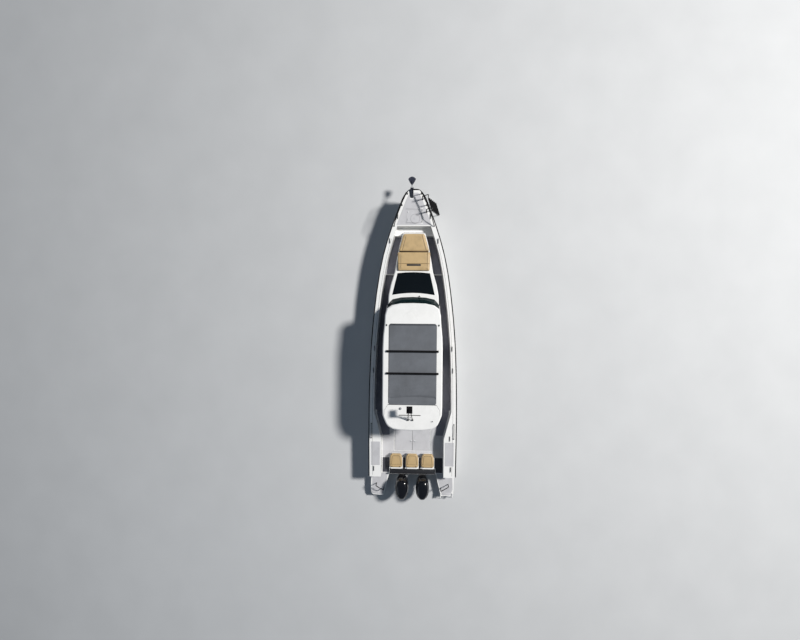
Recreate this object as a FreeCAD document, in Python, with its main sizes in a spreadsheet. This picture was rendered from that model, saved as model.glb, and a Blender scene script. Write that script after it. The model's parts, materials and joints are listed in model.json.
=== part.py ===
import FreeCAD, Part
import math
import os
import re
import Sketcher

# Twin-outboard walkaround day cruiser, millimetres.
# X points to the bow, Y to port, Z up; the origin is on the waterline at the transom.

V = FreeCAD.Vector
os.makedirs("parts", exist_ok=True)
doc = FreeCAD.newDocument("cruiser")
sheet = doc.addObject("Spreadsheet::Sheet", "sizes")

SIZES = [
    # name, value, what it is
    ("half_beam", 1640, "moulded half breadth at the widest station"),
    ("hull_length", 10830, "transom to the nose of the hull"),
    ("freeboard", 1380, "height of the sheer at the nose"),
    ("draft", 530, "depth of the keel below the waterline"),
    ("sole", 450, "height of the cockpit sole"),
    ("side_deck", 650, "height of the side deck beside the coachroof"),
    ("fore_step", 900, "height of the step before the foredeck"),
    ("first_step", 7740, "riser from the sole to the side deck"),
    ("second_step", 9190, "riser from the side deck to the fore step"),
    ("bow_joint", 9070, "joint of the foredeck moulding with the bulwarks"),
    ("third_step", 9500, "riser from the fore step to the foredeck"),
    ("bulwark", 170, "thickness of the bulwark at the top"),
    ("passage_in", 890, "inner side of the passages to the platforms"),
    ("passage_out", 1190, "outer side of the passages to the platforms"),
    ("transom_top", 580, "height of the motor well top"),
    ("transom_thick", 200, "fore and aft thickness of the transom block"),
    ("pad", 4, "thickness of the non-slip panels"),
    ("bedding", 0.1, "bedding under the panels on the sloping deck"),
    ("rub_wide", 28, "how far the rub rail stands out"),
    ("rub_high", 60, "height of the rub rail"),
    ("wall", 30, "thickness of the moulded walls"),
    ("roof_under", 2420, "underside of the hardtop"),
    ("roof_thick", 100, "thickness of the hardtop"),
    ("house_half", 980, "half breadth of the wheelhouse outside"),
    ("house_aft", 2400, "aft edge of the wheelhouse sides"),
    ("bulkhead", 6420, "aft face of the cabin bulkhead"),
    ("screen_foot", 1520, "height of the windscreen foot"),
    ("coach_top", 1150, "height of the coachroof under the sunpad"),
    ("sunpad_thick", 120, "thickness of the sunpad"),
    ("open_fore", 5850, "front of the roof opening"),
    ("open_aft", 2990, "aft end of the roof opening"),
    ("open_half", 850, "half breadth of the roof opening"),
    ("platform_top", 380, "height of the swim platforms"),
    ("platform_thick", 80, "thickness of the swim platform slab"),
    ("motor_off", 390, "each outboard's distance from the centreline"),
    ("tilt_back", 50, "tilt axis behind the transom"),
    ("tilt_up", 640, "height of the tilt axis"),
    ("steer_back", 115, "steering axis behind the transom"),
    ("cowl_half", 265, "half breadth of the cowl"),
    ("cowl_base", 700, "height of the cowl's lower edge"),
    ("cowl_high", 550, "height of the cowl"),
    ("shaft_z", 580, "depth of the propeller shaft"),
    ("prop_radius", 200, "radius of the propellers"),
    ("gap", 6, "clearance round a moving lid or door"),
    ("lid_thick", 26, "thickness of the hatch lids"),
    ("hatch_half", 686, "half breadth of the pair of sole hatches"),
    ("rail_radius", 16, "radius of the black tube rails"),
    ("rail_high", 400, "height of the bow rails"),
    ("seat_wide", 520, "breadth of one aft seat"),
    ("seat_top", 700, "height of the aft seat shell"),
    ("wheel_radius", 190, "radius of the steering wheel"),
    ("pin_radius", 4, "radius of the hinge pins"),
    ("pin_play", 0.15, "running clearance round a pin or shaft"),
    ("knuckle_radius", 8, "radius of the hinge knuckles"),
]
for row, (name, number, note) in enumerate(SIZES, 1):
    sheet.set("A%d" % row, note)
    sheet.set("B%d" % row, str(number))
    sheet.setAlias("B%d" % row, name)
doc.recompute()


def bound(text):
    """The expression with every size name looked up on the sheet."""
    return re.sub(r"[a-z][a-z_]*", lambda word: "sizes." + word.group(0), str(text))


def value(text):
    return float(sheet.evalExpression(bound(text)))


def tie(thing, prop, text):
    thing.setExpression(prop, bound(text))


def place(thing, x, y, z):
    tie(thing, "Placement.Base.x", x)
    tie(thing, "Placement.Base.y", y)
    tie(thing, "Placement.Base.z", z)
    return thing


def box(label, x, y, z, long, wide, high):
    """A block from its low corner."""
    thing = doc.addObject("Part::Box", label)
    tie(thing, "Length", long)
    tie(thing, "Width", wide)
    tie(thing, "Height", high)
    return place(thing, x, y, z)


def cylinder(label, x, y, z, radius, high, axis=(0, 0, 1)):
    thing = doc.addObject("Part::Cylinder", label)
    tie(thing, "Radius", radius)
    tie(thing, "Height", high)
    thing.Placement.Rotation = FreeCAD.Rotation(V(0, 0, 1), V(*axis))
    return place(thing, x, y, z)


def cut(label, base, *tools):
    thing = doc.addObject("Part::Cut", label)
    thing.Base = base
    thing.Tool = tools[0] if len(tools) == 1 else fuse(label + "_tools", *tools)
    return thing


def fuse(label, *pieces):
    thing = doc.addObject("Part::MultiFuse", label)
    thing.Shapes = list(pieces)
    thing.Refine = True
    return thing


def common(label, *pieces):
    thing = doc.addObject("Part::MultiCommon", label)
    thing.Shapes = list(pieces)
    return thing


def group(label, *pieces):
    thing = doc.addObject("Part::Compound", label)
    thing.Links = list(pieces)
    return thing


def outline(body, plane, offset, points):
    """A closed polygon sketch on one of the body's own planes."""
    sketch = body.newObject("Sketcher::SketchObject", body.Name + "_sketch")
    base = [item for item in body.Origin.OriginFeatures if item.Role == plane][0]
    sketch.AttachmentSupport = [(base, "")]
    sketch.MapMode = "FlatFace"
    tie(sketch, "AttachmentOffset.Base.z", offset)
    spots = [(value(a), value(b)) for a, b in points]
    count = len(spots)
    lines = []
    for here, there in zip(spots, spots[1:] + spots[:1]):
        lines.append(Part.LineSegment(V(here[0], here[1], 0), V(there[0], there[1], 0)))
    sketch.addGeometry(lines, False)
    joins = [Sketcher.Constraint("Coincident", i, 2, (i + 1) % count, 1) for i in range(count)]
    sketch.addConstraint(joins)
    for i in range(count):
        for kind, text, number in zip(("DistanceX", "DistanceY"), points[i], spots[i]):
            index = sketch.addConstraint(Sketcher.Constraint(kind, -1, 1, i, 1, number))
            if re.search("[a-z]", str(text)):
                sketch.setExpression("Constraints[%d]" % index, bound(text))
    return sketch


def pad(label, plane, offset, length, points):
    """A polygon on a plane at an offset, padded along the plane's normal."""
    body = doc.addObject("PartDesign::Body", label)
    sketch = outline(body, plane, offset, points)
    feature = body.newObject("PartDesign::Pad", label + "_pad")
    feature.Profile = sketch
    tie(feature, "Length", length)
    body.Tip = feature
    return body


def plan(label, low, high, points):
    """A plan outline raised from one height to another."""
    return pad(label, "XY_Plane", low, "(%s) - (%s)" % (high, low), points)


def profile(label, port, wide, points):
    """A side view outline given thickness from its port face towards starboard."""
    return pad(label, "XZ_Plane", "-(%s)" % port, wide, points)


def loft(label, plane, sections):
    """A ruled loft through polygons of one vertex count."""
    body = doc.addObject("PartDesign::Body", label)
    sketches = [outline(body, plane, offset, points) for offset, points in sections]
    feature = body.newObject("PartDesign::AdditiveLoft", label + "_loft")
    feature.Profile = sketches[0]
    feature.Sections = sketches[1:]
    feature.Ruled = True
    body.Tip = feature
    return body


def mirrored(points):
    """Half an outline and its mirror image across the centreline, for plan outlines."""
    other = [(x, "-(%s)" % y) for x, y in reversed(points) if value(y) != 0]
    return list(points) + other


def tube(label, points, radius, bend=60):
    """A round tube along points, its corners bent."""
    spots = [V(*point) for point in points]
    edges = []
    start = spots[0]
    for before, here, after in zip(spots, spots[1:], spots[2:]):
        back = (before - here).normalize()
        on = (after - here).normalize()
        reach = min(bend, (before - here).Length * 0.45, (after - here).Length * 0.45)
        first = here + back * reach
        last = here + on * reach
        half = (back + on).normalize()
        turn = back.getAngle(on) / 2
        centre = here + half * (reach / math.cos(turn))
        middle = centre - half * (reach * math.tan(turn))
        edges.append(Part.makeLine(start, first))
        edges.append(Part.Arc(first, middle, last).toShape())
        start = last
    edges.append(Part.makeLine(start, spots[-1]))
    path = Part.Wire(edges)
    ring = Part.Wire(Part.makeCircle(radius, spots[0], spots[1] - spots[0]))
    thing = doc.addObject("Part::Feature", label)
    thing.Shape = path.makePipeShell([ring], True, True)
    return thing


def block(label, low, high):
    """A block between two opposite corners."""
    return box(label, *("%.2f" % number for number in low), *("%.2f" % (b - a) for a, b in zip(low, high)))


def hinge(label, centre, along, leaf_arm, frame_arm):
    """A hinge: the knuckle that goes with the leaf and the ears and pin that stay with the frame.

    Each arm is the low and high corner of its block, counted from the centre of the hinge."""
    axis = V(*along)
    middle = V(*centre)
    hole = value("pin_radius + pin_play")

    def barrel(name, start, long, radius):
        foot = middle + axis * start
        return cylinder(label + name, foot.x, foot.y, foot.z, radius, long, along)

    def arm(name, corners, start, long):
        low = V(*corners[0]) + middle + axis * start
        high = V(*corners[1]) + middle + axis * (start + long)
        return block(label + name, tuple(low), tuple(high))

    knuckle = cut(label + "_knuckle", fuse(label + "_leaf", barrel("_barrel", -15, 30, "knuckle_radius"),
                                           arm("_arm", leaf_arm, -15, 30)), barrel("_bore", -20, 40, hole))
    ears = fuse(label + "_ears", barrel("_ear_low", -29, 8, "knuckle_radius"),
                barrel("_ear_high", 21, 8, "knuckle_radius"), arm("_foot_low", frame_arm, -29, 8),
                arm("_foot_high", frame_arm, 21, 8), barrel("_pin", -29, 58, "pin_radius"))
    return knuckle, ears


# Hull lines

HULL = [
    # x, keel z, chine y, chine z, sheer y, sheer z
    (0, -500, 1420, 20, 1620, 1000),
    (2500, -520, 1440, 20, 1640, 1045),
    (5000, -530, 1400, 50, 1570, 1120),
    (7000, -500, 1200, 120, 1375, 1200),
    (8400, -420, 900, 220, 1130, 1270),
    (9500, -300, 550, 340, 800, 1330),
    (10300, -80, 260, 460, 500, 1365),
    (10550, 150, 150, 610, 400, 1372),
    (10720, 550, 75, 850, 290, 1377),
    (10830, 1050, 25, 1140, 190, 1380),
]
STATIONS = [0, 1250, 2500, 3750, 5000, 6000, 7000, 7740, 8400, 8950, 9500, 9900, 10300,
            10440, 10550, 10640, 10720, 10780, 10830]

# The table is drawn for one hull; its rows are scaled to the hull's own sizes.
long_share = value("hull_length") / 10830
broad_share = value("half_beam") / 1640
high_share = value("freeboard") / 1380
deep_share = value("draft") / 530


def height_share(z):
    return z * (high_share if z > 0 else deep_share)


HULL = [(x * long_share, height_share(keel), chine_y * broad_share, height_share(chine_z),
         edge_y * broad_share, edge_z * high_share) for x, keel, chine_y, chine_z, edge_y, edge_z in HULL]
STATIONS = [x * long_share for x in STATIONS]


def smooth(x, column):
    """A hull line at x by a cubic through the table."""
    rows = HULL
    x = max(x, rows[0][0])
    i = max(k for k in range(len(rows) - 1) if rows[k][0] <= x)

    def slope(k):
        low = rows[max(k - 1, 0)]
        high = rows[min(k + 1, len(rows) - 1)]
        return (high[column] - low[column]) / (high[0] - low[0])

    span = rows[i + 1][0] - rows[i][0]
    u = (x - rows[i][0]) / span
    start, end = rows[i][column], rows[i + 1][column]
    return ((2 * u**3 - 3 * u**2 + 1) * start + (u**3 - 2 * u**2 + u) * span * slope(i)
            + (3 * u**2 - 2 * u**3) * end + (u**3 - u**2) * span * slope(i + 1))


LINES = {x: [smooth(x, column) for column in range(6)] for x in STATIONS}


def at(x, column):
    """A hull line at x, straight between the stations as the ruled hull is."""
    x = min(max(x, STATIONS[0]), STATIONS[-1])
    i = max(k for k in range(len(STATIONS) - 1) if STATIONS[k] <= x)
    low, high = STATIONS[i], STATIONS[i + 1]
    u = (x - low) / (high - low)
    return LINES[low][column] * (1 - u) + LINES[high][column] * u


def sheer_y(x):
    return at(x, 4)


def sheer_z(x):
    return at(x, 5)


def hull_section(x):
    """Half section from the keel to the sheer, as shares of the driving sizes."""
    keel, chine_y, chine_z, edge_y, edge_z = LINES[x][1:]
    fade = min(1.0, chine_y / 700.0)
    strake_y = 0.55 * chine_y
    strake_z = keel + 0.55 * (chine_z - keel)
    band = edge_z - 130
    out_y = chine_y + 8 + 34 * fade
    rise = chine_z + 0.55 * (band - chine_z)
    flare_y = out_y + 0.44 * (edge_y - out_y)
    spots = [(0, keel), (strake_y, strake_z), (strake_y + 4 + 26 * fade, strake_z + 1),
             (chine_y, chine_z), (out_y, chine_z - 4 * fade), (flare_y, rise),
             (edge_y, band), (edge_y, edge_z)]
    points = []
    for y, z in spots:
        across = "half_beam * %.6f" % (y / value("half_beam"))
        up = "freeboard * %.6f" % (z / value("freeboard")) if z > 0 else "draft * %.6f" % (z / value("draft"))
        points.append((across, up))
    return points


def both_sides(half):
    """A half section in Y and Z with its mirror image."""
    other = [("-(%s)" % y, z) for y, z in reversed(half) if value(y) != 0]
    return list(half) + other


sections = []
for x in STATIONS:
    sections.append(("hull_length * %.6f" % (x / value("hull_length")), both_sides(hull_section(x))))
hull_block = loft("hull_block", "YZ_Plane", sections)


def inner(x):
    return "%.1f - bulwark" % sheer_y(x)


def well_plan(first, last):
    stops = [first] + [x for x in STATIONS if first < x < last] + [last]
    return mirrored([(x, inner(x)) for x in stops])


well = plan("well", "sole", 2200, mirrored(
    [("transom_thick", "passage_in"), (-300, "passage_in"), (-300, "passage_out"),
     (1450, "passage_out")] + [(x, inner(x)) for x in (2500, 3750, 5000, 6000, 7000)] +
    [("first_step", inner(value("first_step")))]))
well_side = plan("well_side", "side_deck", 2200, well_plan(value("first_step - 10"), value("second_step")))
well_fore = plan("well_fore", "fore_step", 2200, well_plan(value("second_step - 10"), value("third_step")))
motor_well = box("motor_well", -300, "-passage_in", "transom_top", "transom_thick + 310",
                 "passage_in * 2", 1200)
cabin_floor = plan("cabin_floor", 100, 1000, mirrored([("bulkhead + wall", 620), (7600, 560)]))
berth_floor = plan("berth_floor", 420, 1000, mirrored([(7590, 560), (8300, 500), (9080, 350)]))
locker = box("locker", 9660, -250, 950, 430, 500, 600)
locker_rim = box("locker_rim", 9620, -306, 1298, 510, 596, 300)
bins = [box("bin_port", 920, 40, 80, 1290, 620, 500), box("bin_starboard", 920, -660, 80, 1290, 620, 500)]
bin_rim = box("bin_rim", 880, "-hatch_half - 33", "sole + pad - lid_thick - gap", 1370, "hatch_half * 2 + 66", 200)
whole_hull = cut("whole_hull", hull_block, well, well_side, well_fore, motor_well, cabin_floor,
               berth_floor, locker, locker_rim, bin_rim, *bins)

# Hinges of the sole hatches and the locker lid

HATCH_HINGES = []
for side, sign in (("port", 1), ("starboard", -1)):
    pair = []
    for i, x in enumerate((1250, 1950)):
        leaf_arm = [(0, -14, -4), (0, 0, 6)] if sign > 0 else [(0, 0, -4), (0, 14, 6)]
        frame_arm = [(0, 0, -22), (0, 14, 0)] if sign > 0 else [(0, -14, -22), (0, 0, 0)]
        pair.append(hinge("hatch_hinge_%s_%d" % (side, i), (x, sign * value("hatch_half + 14"), 444), (1, 0, 0),
                          leaf_arm, frame_arm))
    HATCH_HINGES.append(pair)
LOCKER_HINGES = [hinge("locker_hinge_%d" % i, (x, -292, 1346), (1, 0, 0), [(0, 0, -4), (0, 17, 6)],
                       [(0, -12, -48), (0, 0, 0)]) for i, x in enumerate((9740, 10010))]

# The hull below the sole, with the transom's top on it

below = box("below", -400, -2000, -1000, 12000, 4000, "sole + 1000")
bottom = fuse("hull_bottom", common("hull_low", whole_hull, below),
              *[ears for pair in HATCH_HINGES for knuckle, ears in pair])
transom_region = box("transom_region", -100, "-passage_in - 10", "sole", "transom_thick + 150",
                     "passage_in * 2 + 20", 800)
transom = common("transom", whole_hull, transom_region)
hull = group("hull", bottom, transom)

# The bulwarks, the side steps and the foredeck stand on it

bulwarks = []
for side, low_aft, low_fore in (("port", "passage_in + 10", "passage_in - 190"),
                                ("starboard", "-passage_in - 1110", "-passage_in - 1110")):
    wide = ("1100", "1300")
    aft_region = box("aft_region_" + side, -400, low_aft, "sole", "first_step + 400", wide[0], 2000)
    fore_region = box("fore_region_" + side, "first_step - 40", low_fore, "side_deck",
                      "bow_joint - first_step + 40 - bedding", wide[1], 2000)
    bulwarks.append(common("bulwark_" + side, whole_hull, fuse("region_" + side, aft_region, fore_region)))
step_region = box("step_region", "first_step", -2000, "sole", "bow_joint - first_step", 4000,
                  "side_deck - sole")
side_steps = common("side_steps", whole_hull, step_region)
fore_region = box("fore_region", "bow_joint", -2000, "sole", 3000, 4000, 2000)
foredeck = fuse("foredeck", common("foredeck_raw", whole_hull, fore_region),
                *[ears for knuckle, ears in LOCKER_HINGES])
deck_moulding = group("deck_moulding", side_steps, foredeck, *bulwarks)

# Rub rail round the sheer

rail_path = [(x, sheer_y(x), sheer_z(x)) for x in STATIONS]
rail_path += [(x, -y, z) for x, y, z in reversed(rail_path)]
rail_wires = []
wide = value("rub_wide")
high = value("rub_high")
for i, (x, y, z) in enumerate(rail_path):
    before = rail_path[max(i - 1, 0)]
    after = rail_path[min(i + 1, len(rail_path) - 1)]
    first = V(x - before[0], y - before[1], 0)
    second = V(after[0] - x, after[1] - y, 0)
    if first.Length == 0:
        first = V(second)
    if second.Length == 0:
        second = V(first)
    first.normalize()
    second.normalize()
    along = (first + second).normalize()
    out = V(-along.y, along.x, 0) * (wide / max(0.4, math.cos(first.getAngle(second) / 2)))
    low = V(x, y, z - 40 - high)
    top = V(x, y, z - 40)
    rail_wires.append(Part.makePolygon([low, top, top + out - V(0, 0, 8), low + out + V(0, 0, 8), low]))
rub_rail = doc.addObject("Part::Feature", "rub_rail")
rub_rail.Shape = Part.makeLoft(rail_wires, True, True)

# Where the boarding ladder and the platform hoops stand

ladder_out = V(0.295, -0.955, 0)
LADDER_POSTS = [V(10550, -sheer_y(10550) - 120, 0), V(10080, -sheer_y(10080) - 88, 0)]
LADDER_FEET = [post - ladder_out * 225 for post in LADDER_POSTS]

HOOP = [(-600, 1105), (-430, 1400)]

# Non-slip panels


def strip(label, first, last, near, far, height):
    """A thin panel over the deck from one x to another, following the sheer's stations."""
    stops = [first] + [x for x in STATIONS if first < x < last] + [last]
    parts = []
    for x in stops:
        a, b, z = near(x), far(x), height(x)
        parts.append((x, [(a, z), (b, z), (b, "(%s) + pad" % z), (a, "(%s) + pad" % z)]))
    return loft(label, "YZ_Plane", parts)


COACH = [
    # x, half breadth, top z
    (6420, 950, 1520),
    (6900, 930, 1520),
    (7300, 862, 1355.6),
    (7800, 725, 1150),
    (8300, 645, 1150),
    (8800, 548, 1150),
    (9250, 430, 1150),
    (9330, 385, 960),
]


def coach_half(x):
    rows = COACH
    i = max(k for k in range(len(rows) - 1) if rows[k][0] <= max(x, rows[0][0]))
    u = (x - rows[i][0]) / (rows[i + 1][0] - rows[i][0])
    return rows[i][1] + u * (rows[i + 1][1] - rows[i][1])


def inboard(x):
    return "%.1f - bulwark - 40" % sheer_y(x)


panels = []
sole_aft = plan("sole_aft", "sole", "sole + pad", mirrored(
    [(845, 0), (845, "passage_in + 15"), (15, "passage_in + 15"), (15, "passage_out - 15"),
     (1440, "passage_out - 20"), (2330, 1400), (2360, 0)]))
sole_hole = box("sole_hole", 868, "-hatch_half - 45", 400, 1394, "hatch_half * 2 + 90", 200)
panels.append(cut("panel_cockpit", sole_aft, sole_hole))
panels.append(plan("panel_inside", "sole", "sole + pad", mirrored([(2460, 930), (6390, 930)])))
for side, sign in (("port", ""), ("starboard", "-")):
    def signed(function, sign=sign):
        return lambda x: "%s(%s)" % (sign, function(x))
    panels.append(strip("panel_side_" + side, 2460, 7690, signed(lambda x: "house_half + 40"),
                        signed(inboard), lambda x: "sole"))
    panels.append(strip("panel_step_" + side, 7800, 9140, signed(lambda x: "%.1f" % (coach_half(x) + 45)),
                        signed(inboard), lambda x: "side_deck"))
    panels.append(strip("panel_quarter_" + side, 440, 1340, signed(lambda x: "passage_out + 45"),
                        signed(lambda x: "%.1f - 60" % sheer_y(x)), lambda x: "%.3f + bedding" % sheer_z(x)))
fore = strip("fore_panel", 9540, 10740, lambda x: "-(%.1f - 130)" % sheer_y(x),
             lambda x: "%.1f - 130" % sheer_y(x), lambda x: "%.3f + bedding" % sheer_z(x))
panels.append(cut("panel_fore", fore, box("fore_hole", 9590, -326, 1200, 570, 646, 400),
                  box("roller_hole", 10500, 20, 1200, 400, 140, 400),
                  *[cylinder("ladder_hole_%d" % i, spot.x, spot.y, 1200, 38, 400)
                    for i, spot in enumerate(LADDER_FEET)]))
for side, sign in (("port", ""), ("starboard", "-")):
    grip = plan("platform_grip_" + side, "platform_top", "platform_top + pad", [
        (x, "%s%d" % (sign, y)) for x, y in ((-20, 945), (-20, 1560), (-640, 1575), (-765, 1520), (-775, 1125))])
    feet = [cylinder("hoop_hole_%s_%d" % (side, i), x, "%s%d" % (sign, y), 300, "rail_radius + 8", 200)
            for i, (x, y) in enumerate(HOOP)]
    panels.append(cut("panel_platform_" + side, grip, *feet))
deck_panels = group("deck_panels", *panels)

# Coachroof over the cabin


def coach_section(half, top, foot):
    return both_sides([(half, foot), (half, top - 60), (half - 35, top)])


coach_out = loft("coach_out", "YZ_Plane", [
    (x, coach_section(half, top, 420)) for x, half, top in COACH])
coach_in = loft("coach_in", "YZ_Plane", [
    (x, coach_section(half - 30, top - 30, 300)) for x, half, top in (
        (6450, 949, 1520), (6890, 930, 1520), (7290, 862, 1355.6), (7790, 725, 1150), (8300, 645, 1150),
        (8800, 548, 1150), (9180, 449, 1150))])
doorway = box("doorway", 6400, 60, 460, 80, 560, 970)
fall = 370 / 900
light_hole = plan("light_hole", 1000, 1700, mirrored([(7010, 745), (7720, 590)]))
DOOR_HINGES = [hinge("door_hinge_%d" % i, (6406, 614, z), (0, 0, 1), [(0, -14, 0), (17, -2, 0)],
                     [(-8, 0, 0), (8, 24, 0)]) for i, z in enumerate((700, 1220))]
door_feet = [block("door_foot_%d" % i, (6406, 628, z), (6420, 646, z + 8))
             for i, z in enumerate((671, 721, 1191, 1241))]
coach_cut = cut("coach_cut", coach_out, coach_in, doorway, light_hole, whole_hull)
coachroof = fuse("coachroof", coach_cut, *([ears for knuckle, ears in DOOR_HINGES] + door_feet))

glass_strip = profile("glass_strip", 900, 1800, [
    (6900, "1520 + bedding"), (7800, "1150 + bedding"), (7800, "1158 + bedding"), (6900, "1528 + bedding")])
glass_plan = plan("glass_plan", 1000, 1700, mirrored([
    (6990, 0), (6980, 250), (6955, 500), (6910, 789), (7748, 611), (7778, 300), (7788, 0)]))
skylight_glass = common("skylight_glass", glass_strip, glass_plan)

# Wheelhouse sides, glass and windscreen

sides = []
windows = []
for side, face in (("port", "house_half"), ("starboard", "wall - house_half")):
    sheet_side = profile("side_sheet_" + side, face, "wall", [
        ("house_aft", "sole"), (6520, "sole"), (6520, "screen_foot"), (6150, "roof_under"),
        ("house_aft + 60", "roof_under")])
    wide_cut = "wall + 100"
    reach = "(%s) + 50" % face
    front_window = [(5180, 1240), (6420, 1300), (6420, 1530), (6110, 2290), (5180, 2290)]
    aft_window = [(2620, 1160), (4080, 1160), (4080, 2290), (2680, 2290)]
    door_gap = [(4220, 400), (5020, 400), (5020, 2290), (4220, 2290)]
    sides.append(cut("wheelhouse_side_" + side, sheet_side,
                     profile("front_window_" + side, reach, wide_cut, front_window),
                     profile("aft_window_" + side, reach, wide_cut, aft_window),
                     profile("door_gap_" + side, reach, wide_cut, door_gap)))
    windows.append(profile("pane_" + side, "(%s) - 12" % face, 6, front_window))
wheelhouse_sides = group("wheelhouse_sides", *sides)
dark_windows = group("windows", skylight_glass, *windows)

SCREEN = [(6825, 0), (6805, 450), (6735, 770), (6610, 890), (6520, 950)]
RAKE = [430, 430, 415, 390, 370]


def screen_ring(level, share):
    outer = [(x - rake * share, y) for (x, y), rake in zip(SCREEN, RAKE)]
    back = [(x - 12, y) for x, y in reversed(outer)]
    half = outer + back
    other = [(x, -y) for x, y in outer[1:]]
    other_back = [(x - 12, y) for x, y in other]
    ring = list(reversed(other)) + outer + back + other_back
    ring = [point for i, point in enumerate(ring) if point not in ring[:i]]
    return [(level, [("%.2f" % x, "%.2f" % y) for x, y in ring])]


windscreen = loft("windscreen", "XY_Plane", screen_ring("screen_foot", 0) + screen_ring("roof_under", 1))

# Hardtop

ROOF = [(6580, 0), (6565, 450), (6500, 750), (6380, 920), (6150, 985), (5850, 1000), (5400, 1045),
        (5000, 1060), (2900, 1060), (2620, 1045), (2460, 985), (2300, 910), (2210, 830), (2130, 680),
        (2090, 400), (2080, 0)]


def roof_ring(shrink):
    points = []
    for x, y in ROOF:
        points.append(("%.1f" % (4330 + (x - 4330) * (1 - shrink / 2250.0)),
                       "%.1f" % (y * (1 - shrink / 1060.0))))
    return mirrored(points)


roof_block = loft("roof_block", "XY_Plane", [
    ("roof_under", roof_ring(30)), ("roof_under + 30", roof_ring(0)),
    ("roof_under + roof_thick - 35", roof_ring(0)), ("roof_under + roof_thick", roof_ring(35))])
roof_hole = plan("roof_hole", 2300, 2700, mirrored([
    ("open_fore", "open_half - 60"), ("open_fore - 60", "open_half"), ("open_aft + 60", "open_half"),
    ("open_aft", "open_half - 60")]))
runners = [box("runner_" + side, "open_aft + 60", low, "roof_under + 36", "open_fore - open_aft - 120", 30, 24)
           for side, low in (("port", "open_half - 25"), ("starboard", "-open_half - 5"))]
roof_cut = cut("roof_cut", roof_block, roof_hole)
roof_fore = common("roof_fore", roof_cut, box("roof_fore_region", "open_fore - 60", -1200, 2300, 1200, 2400, 400))
roof_aft = common("roof_aft", roof_cut, box("roof_aft_region", 1900, -1200, 2300, "open_aft + 60 - 1900", 2400, 400))
roof_sides = [fuse("roof_side_" + side, runner, common("roof_beam_" + side, roof_cut, box(
    "roof_region_" + side, "open_aft + 60", low, 2300, "open_fore - open_aft - 120", 1200, 400)))
    for side, low, runner in zip(("port", "starboard"), (0, -1200), runners)]
roof = group("roof", roof_fore, roof_aft, *roof_sides)
roof_canvas = plan("roof_canvas", "roof_under + 86", "roof_under + 94", mirrored([
    ("open_fore - 60", "open_half - 8"), ("open_aft + 60", "open_half - 8"), ("open_aft", "open_half - 68")]))
canopy_bow = box("canopy_bow", "open_fore - 100", "-open_half + 8", "roof_under + 60.2", 40,
                 "open_half * 2 - 16", 25.8)

bars = []
for name, x in (("fore", 4880), ("aft", 4100)):
    beam = box("bar_" + name, x - 35, -920, 2560, 70, 1840, 28)
    feet = [box("bar_foot_%s_%s" % (name, hand), x - 35, low, "roof_under + roof_thick", 70, 50, 45)
            for hand, low in (("port", 868), ("starboard", -918))]
    bars.append(fuse("rack_" + name, beam, *feet))
cheeks = []
for i, y in enumerate((140, -20)):
    plates = [box("cheek_%d_%d" % (i, k), 2435, y + shift, "roof_under + roof_thick", 50, 8, 50)
              for k, shift in enumerate((-28, 20))]
    pin = cylinder("mast_pin_%d" % i, 2460, y - 28, 2552, "pin_radius * 2", 56, (0, 1, 0))
    cheeks.append(fuse("mast_cheek_%d" % i, pin, *plates))
hook = cylinder("hook", 2420, -720, "roof_under + roof_thick", 14, 60)
roof_rack = group("roof_rack", *(bars + cheeks + [hook]))

mast_legs = [tube("mast_leg_port", [(2460, 140, 2552), (2880, 112, 3240)], 14),
             tube("mast_leg_starboard", [(2460, -20, 2552), (2880, 40, 3240)], 14)]
mast_feet = [cylinder("mast_foot_%d" % i, 2460, y - 14, 2552, 20, 28, (0, 1, 0))
             for i, y in enumerate((140, -20))]
mast_bore = cylinder("mast_bore", 2460, -100, 2552, "pin_radius * 2 + pin_play", 300, (0, 1, 0))
mast_box = box("mast_box", 2825, -25, 3235, 230, 200, 90)
mast_arm = tube("mast_arm", [(2700, -300, 2945), (2700, 450, 2945)], 12)
mast_lamp = cylinder("mast_lamp", 2940, 75, 3325, 28, 70)
light_mast = cut("light_mast", fuse("mast_frame", mast_box, mast_arm, mast_lamp, *(mast_legs + mast_feet)),
                 mast_bore)

# Helm

console_block = profile("console_block", -60, 840, [
    (5990, "sole + pad"), ("bulkhead", "sole + pad"), ("bulkhead", 1500), (6010, 1500), (5900, 1262),
    (5990, 1180)])
spin = (-math.cos(math.radians(25)), 0, math.sin(math.radians(25)))
hub = V(5840, -480, 1440)
ring = doc.addObject("Part::Torus", "wheel_ring")
tie(ring, "Radius1", "wheel_radius")
tie(ring, "Radius2", 14)
ring.Placement = FreeCAD.Placement(hub, FreeCAD.Rotation(V(0, 0, 1), V(*spin)))
stub = cylinder("wheel_stub", hub.x - spin[0] * 150, hub.y, hub.z - spin[2] * 150, 30, 170, spin)
bearing = cylinder("wheel_bearing", hub.x - spin[0] * 158, hub.y, hub.z - spin[2] * 158, "30 + pin_play", 120, spin)
helm_console = cut("helm_console", console_block, bearing)
spokes = []
level = V(spin[2], 0, -spin[0])
for i in range(3):
    angle = math.radians(90 + 120 * i)
    out = V(0, 1, 0) * math.cos(angle) + level * math.sin(angle)
    spokes.append(cylinder("wheel_spoke_%d" % i, hub.x, hub.y, hub.z, 10, "wheel_radius", tuple(out)))
steering_wheel = fuse("steering_wheel", ring, stub, *spokes)
throttle_base = box("throttle_base", 6120, -180, 1500, 110, 90, 40)
levers = [tube("lever_%d" % i, [(6175, y, 1530), (6145, y, 1630)], 8) for i, y in enumerate((-155, -115))]
throttle = fuse("throttle", throttle_base, *levers)

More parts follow.
